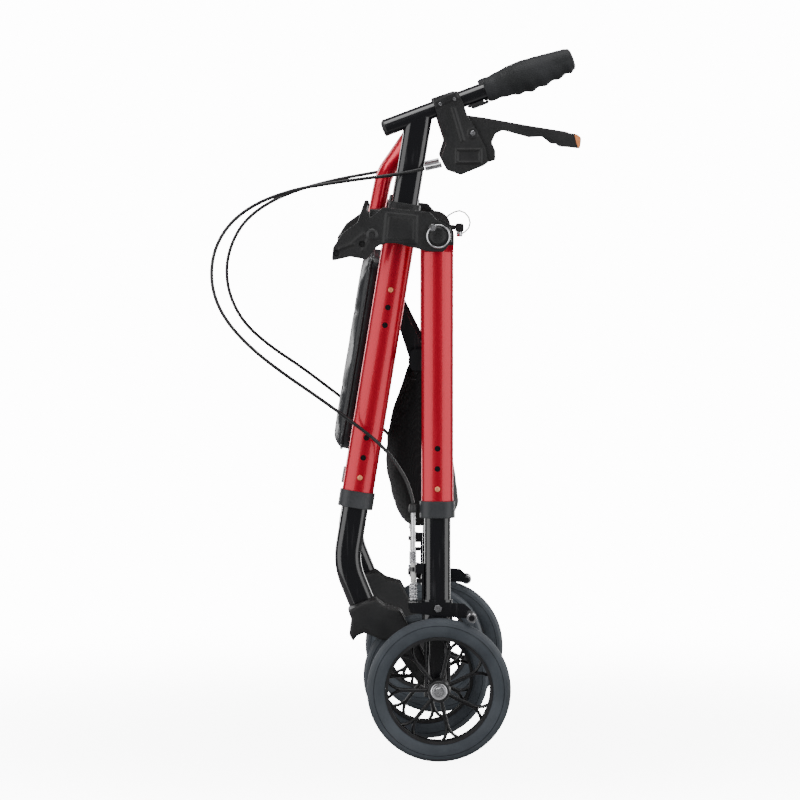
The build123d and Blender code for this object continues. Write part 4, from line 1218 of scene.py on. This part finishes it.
place = pad_place @ Matrix.Translation(pad_middle)
form = bmesh.new()
for level in (pad_deep / 2 - 0.010, -pad_deep / 2 + 0.0055):
    corners, course = rim_loop(0.0008, 0.031, level), []
    for here, there in zip(corners, corners[1:] + corners[:1]):
        parts = max(1, round((there - here).length / 0.010))
        course += [here.lerp(there, part / parts) for part in range(parts)]
    seated = [skin.find_nearest(place @ point) for point in course]
    tube(form, [spot + normal * 0.0004 for spot, normal, _, _ in seated], 0.0021, 8, closed=True)
finished("seat_welt", form, vinyl, "seat", 60)


def stitch_row(name, points, material, body, pitch=0.0042, stitch=0.0030, thread=0.00050):
    """A row of lock stitches along a line."""
    mesh = bpy.data.meshes.new(name + "_line")
    mesh.from_pydata([tuple(p) for p in points], [(k, k + 1) for k in range(len(points) - 1)], [])
    row = grown_mesh(
        name + "_line", mesh, material, {"Pitch": pitch, "Stitch": stitch, "Thread": thread},
        {"course": ("MeshToCurve", {}), "spaced": ("CurveToPoints", {"mode": "LENGTH"}),
         "bead": ("MeshCylinder", {"Vertices": 6}), "placed": ("InstanceOnPoints", {})},
        (("given.Blank", "course.Mesh"), ("course.Curve", "spaced.Curve"), ("given.Pitch", "spaced.Length"),
         ("given.Stitch", "bead.Depth"), ("given.Thread", "bead.Radius"), ("spaced.Points", "placed.Points"),
         ("spaced.Rotation", "placed.Rotation"), ("bead.Mesh", "placed.Instance"),
         ("placed.Instances", "whole.Geometry")))
    form = bmesh.new()
    form.from_mesh(row)
    finished(name, form, material, body, 60)


def surface_line(skin, starts, way, lift=0.00015):
    """Where rays from the starts meet a skin, lifted a little off it."""
    hits = [skin.ray_cast(start, way)[0] for start in starts]
    return [hit - way * lift for hit in hits if hit is not None]


seam_thread = nylon_finish("seam_thread", (0.070, 0.072, 0.076), (0.120, 0.122, 0.126), 0.6)
turned_in = (pad_place.to_3x3() @ Vector((0, 0, -1))).normalized()
for row, channel in enumerate(channels):
    starts = [place @ Vector((channel, -0.165 + 0.33 * k / 80, 0.06)) for k in range(81)]
    stitch_row(f"seat_stitches_{row + 1}", surface_line(skin, starts, turned_in), seam_thread, "seat")


# ---- Pouch ----------------------------------------------------------------
# A zipped bag of black woven polyester, hung from the crossbar by two folded
# tabs and sagging at its foot. Its rim is bound with tape.
def weave_finish(name, dark, pale, pitch=620.0):
    finish = Finish(name, Sheen_Weight=0.15, Specular_IOR_Level=0.2)
    warp = finish.node("ShaderNodeTexWave", {"bands_direction": "Z"}, {"Vector": finish.here, "Scale": pitch})
    weft = finish.node("ShaderNodeTexWave", {"bands_direction": "Y"}, {"Vector": finish.here, "Scale": pitch})
    threads = warp * weft
    faded = finish.between(finish.grain(16, 4), 0.35, 0.7)
    colour = finish.blend(threads * 0.3 + faded * 0.7, dark, pale)
    normal = finish.relief(threads, 0.0003)
    return finish.wear(Base_Color=colour, Roughness=faded * 0.08 + 0.82, Normal=normal)


pouch_cloth = weave_finish("pouch_cloth", (0.003, 0.003, 0.004), (0.010, 0.010, 0.011))
webbing = weave_finish("webbing", (0.010, 0.010, 0.011), (0.034, 0.034, 0.036), 1100.0)
# front and back edge of the bag's side view at each height, in metres
pouch_side = (
    (0.551, -0.037, -0.016), (0.535, -0.045, -0.006), (0.500, -0.057, 0.004), (0.470, -0.068, 0.009),
    (0.435, -0.075, 0.017), (0.400, -0.076, 0.024), (0.370, -0.070, 0.0285), (0.349, -0.063, 0.0305),
    (0.337, -0.058, 0.026), (0.328, -0.053, 0.012), (0.323, -0.044, -0.010))
pouch_top, pouch_foot = pouch_side[0][0], pouch_side[-1][0]
half_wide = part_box("pouch")[1].y - 0.004
form = bmesh.new()
rings = []
rows = 46
for row in range(rows + 1):
    z = pouch_top + (pouch_foot - pouch_top) * row / rows
    for (z0, f0, b0), (z1, f1, b1) in zip(pouch_side, pouch_side[1:]):
        if z >= z1 - 1e-9:
            share = (z0 - z) / (z0 - z1)
            front, back = f0 + (f1 - f0) * share, b0 + (b1 - b0) * share
            break
    middle, deep = (front + back) / 2, (back - front) / 2
    drop = (pouch_top - z) / 0.23
    ring = []
    for turn in round_steps(96):
        c, s = math.cos(turn), math.sin(turn)
        x = abs(c) ** 0.75 * math.copysign(1, c) * deep
        y = abs(s) ** 0.32 * math.copysign(1, s) * (half_wide - 0.010 * (1 - drop) ** 2)
        broad = noise.noise(Vector((x * 9, y * 16, z * 22)))
        fine = noise.noise(Vector((x * 30, y * 45, z * 60)))
        pull = broad * 0.0042 + fine * 0.0012
        fold = 0.0025 * math.sin(y * 70 + z * 18) * min(1.0, drop * 2.5)
        ring.append(form.verts.new((middle + x - abs(pull + fold) * math.copysign(1, c), y, z)))
    rings.append(ring)
skin_rings(form, rings)
form.faces.new(rings[0][::-1])
form.faces.new(rings[-1])
skin = BVHTree.FromBMesh(form)
finished("pouch_bag", form, pouch_cloth, "rear_frame", 70, ("pouch",))
form = bmesh.new()
band = [Vector(v) for v in (
    (math.copysign(abs(math.cos(t)) ** 0.75, math.cos(t)) * 0.0125 - 0.0265,
     math.copysign(abs(math.sin(t)) ** 0.32, math.sin(t)) * (half_wide - 0.0085), 0.5485)
    for t in round_steps(96))]
tube(form, band, 0.0035, 8, closed=True)
finished("pouch_binding", form, webbing, "rear_frame", 60)
for row, (start_x, way_x) in enumerate(((-0.2, 1), (0.2, -1))):
    for line, height in enumerate((0.541, 0.532)):
        starts = [Vector((start_x, -0.155 + 0.31 * k / 80, height)) for k in range(81)]
        stitch_row(f"pouch_stitches_{2 * row + line + 1}", surface_line(skin, starts, Vector((way_x, 0, 0))),
                   seam_thread, "rear_frame")
bar = Vector(frame_joint("seat_link_pivot"))
for k, y in enumerate((-0.105, 0.105)):
    form = bmesh.new()
    loop = []
    for step in range(33):
        turn = math.radians(-60 + 300 * step / 32)
        loop.append(bar + Vector((0.0098 * math.cos(turn), y, 0.0098 * math.sin(turn))))
    loop = [Vector((-0.0235, y, 0.540))] + loop + [Vector((-0.030, y, 0.540))]
    tube(form, loop, 0.0009, 12, flat=1.0)
    bmesh.ops.scale(form, vec=(1, 15, 1), verts=form.verts, space=Matrix.Translation((0, -y, 0)))
    finished(f"pouch_tab_{k + 1}", form, webbing, "rear_frame", 60)
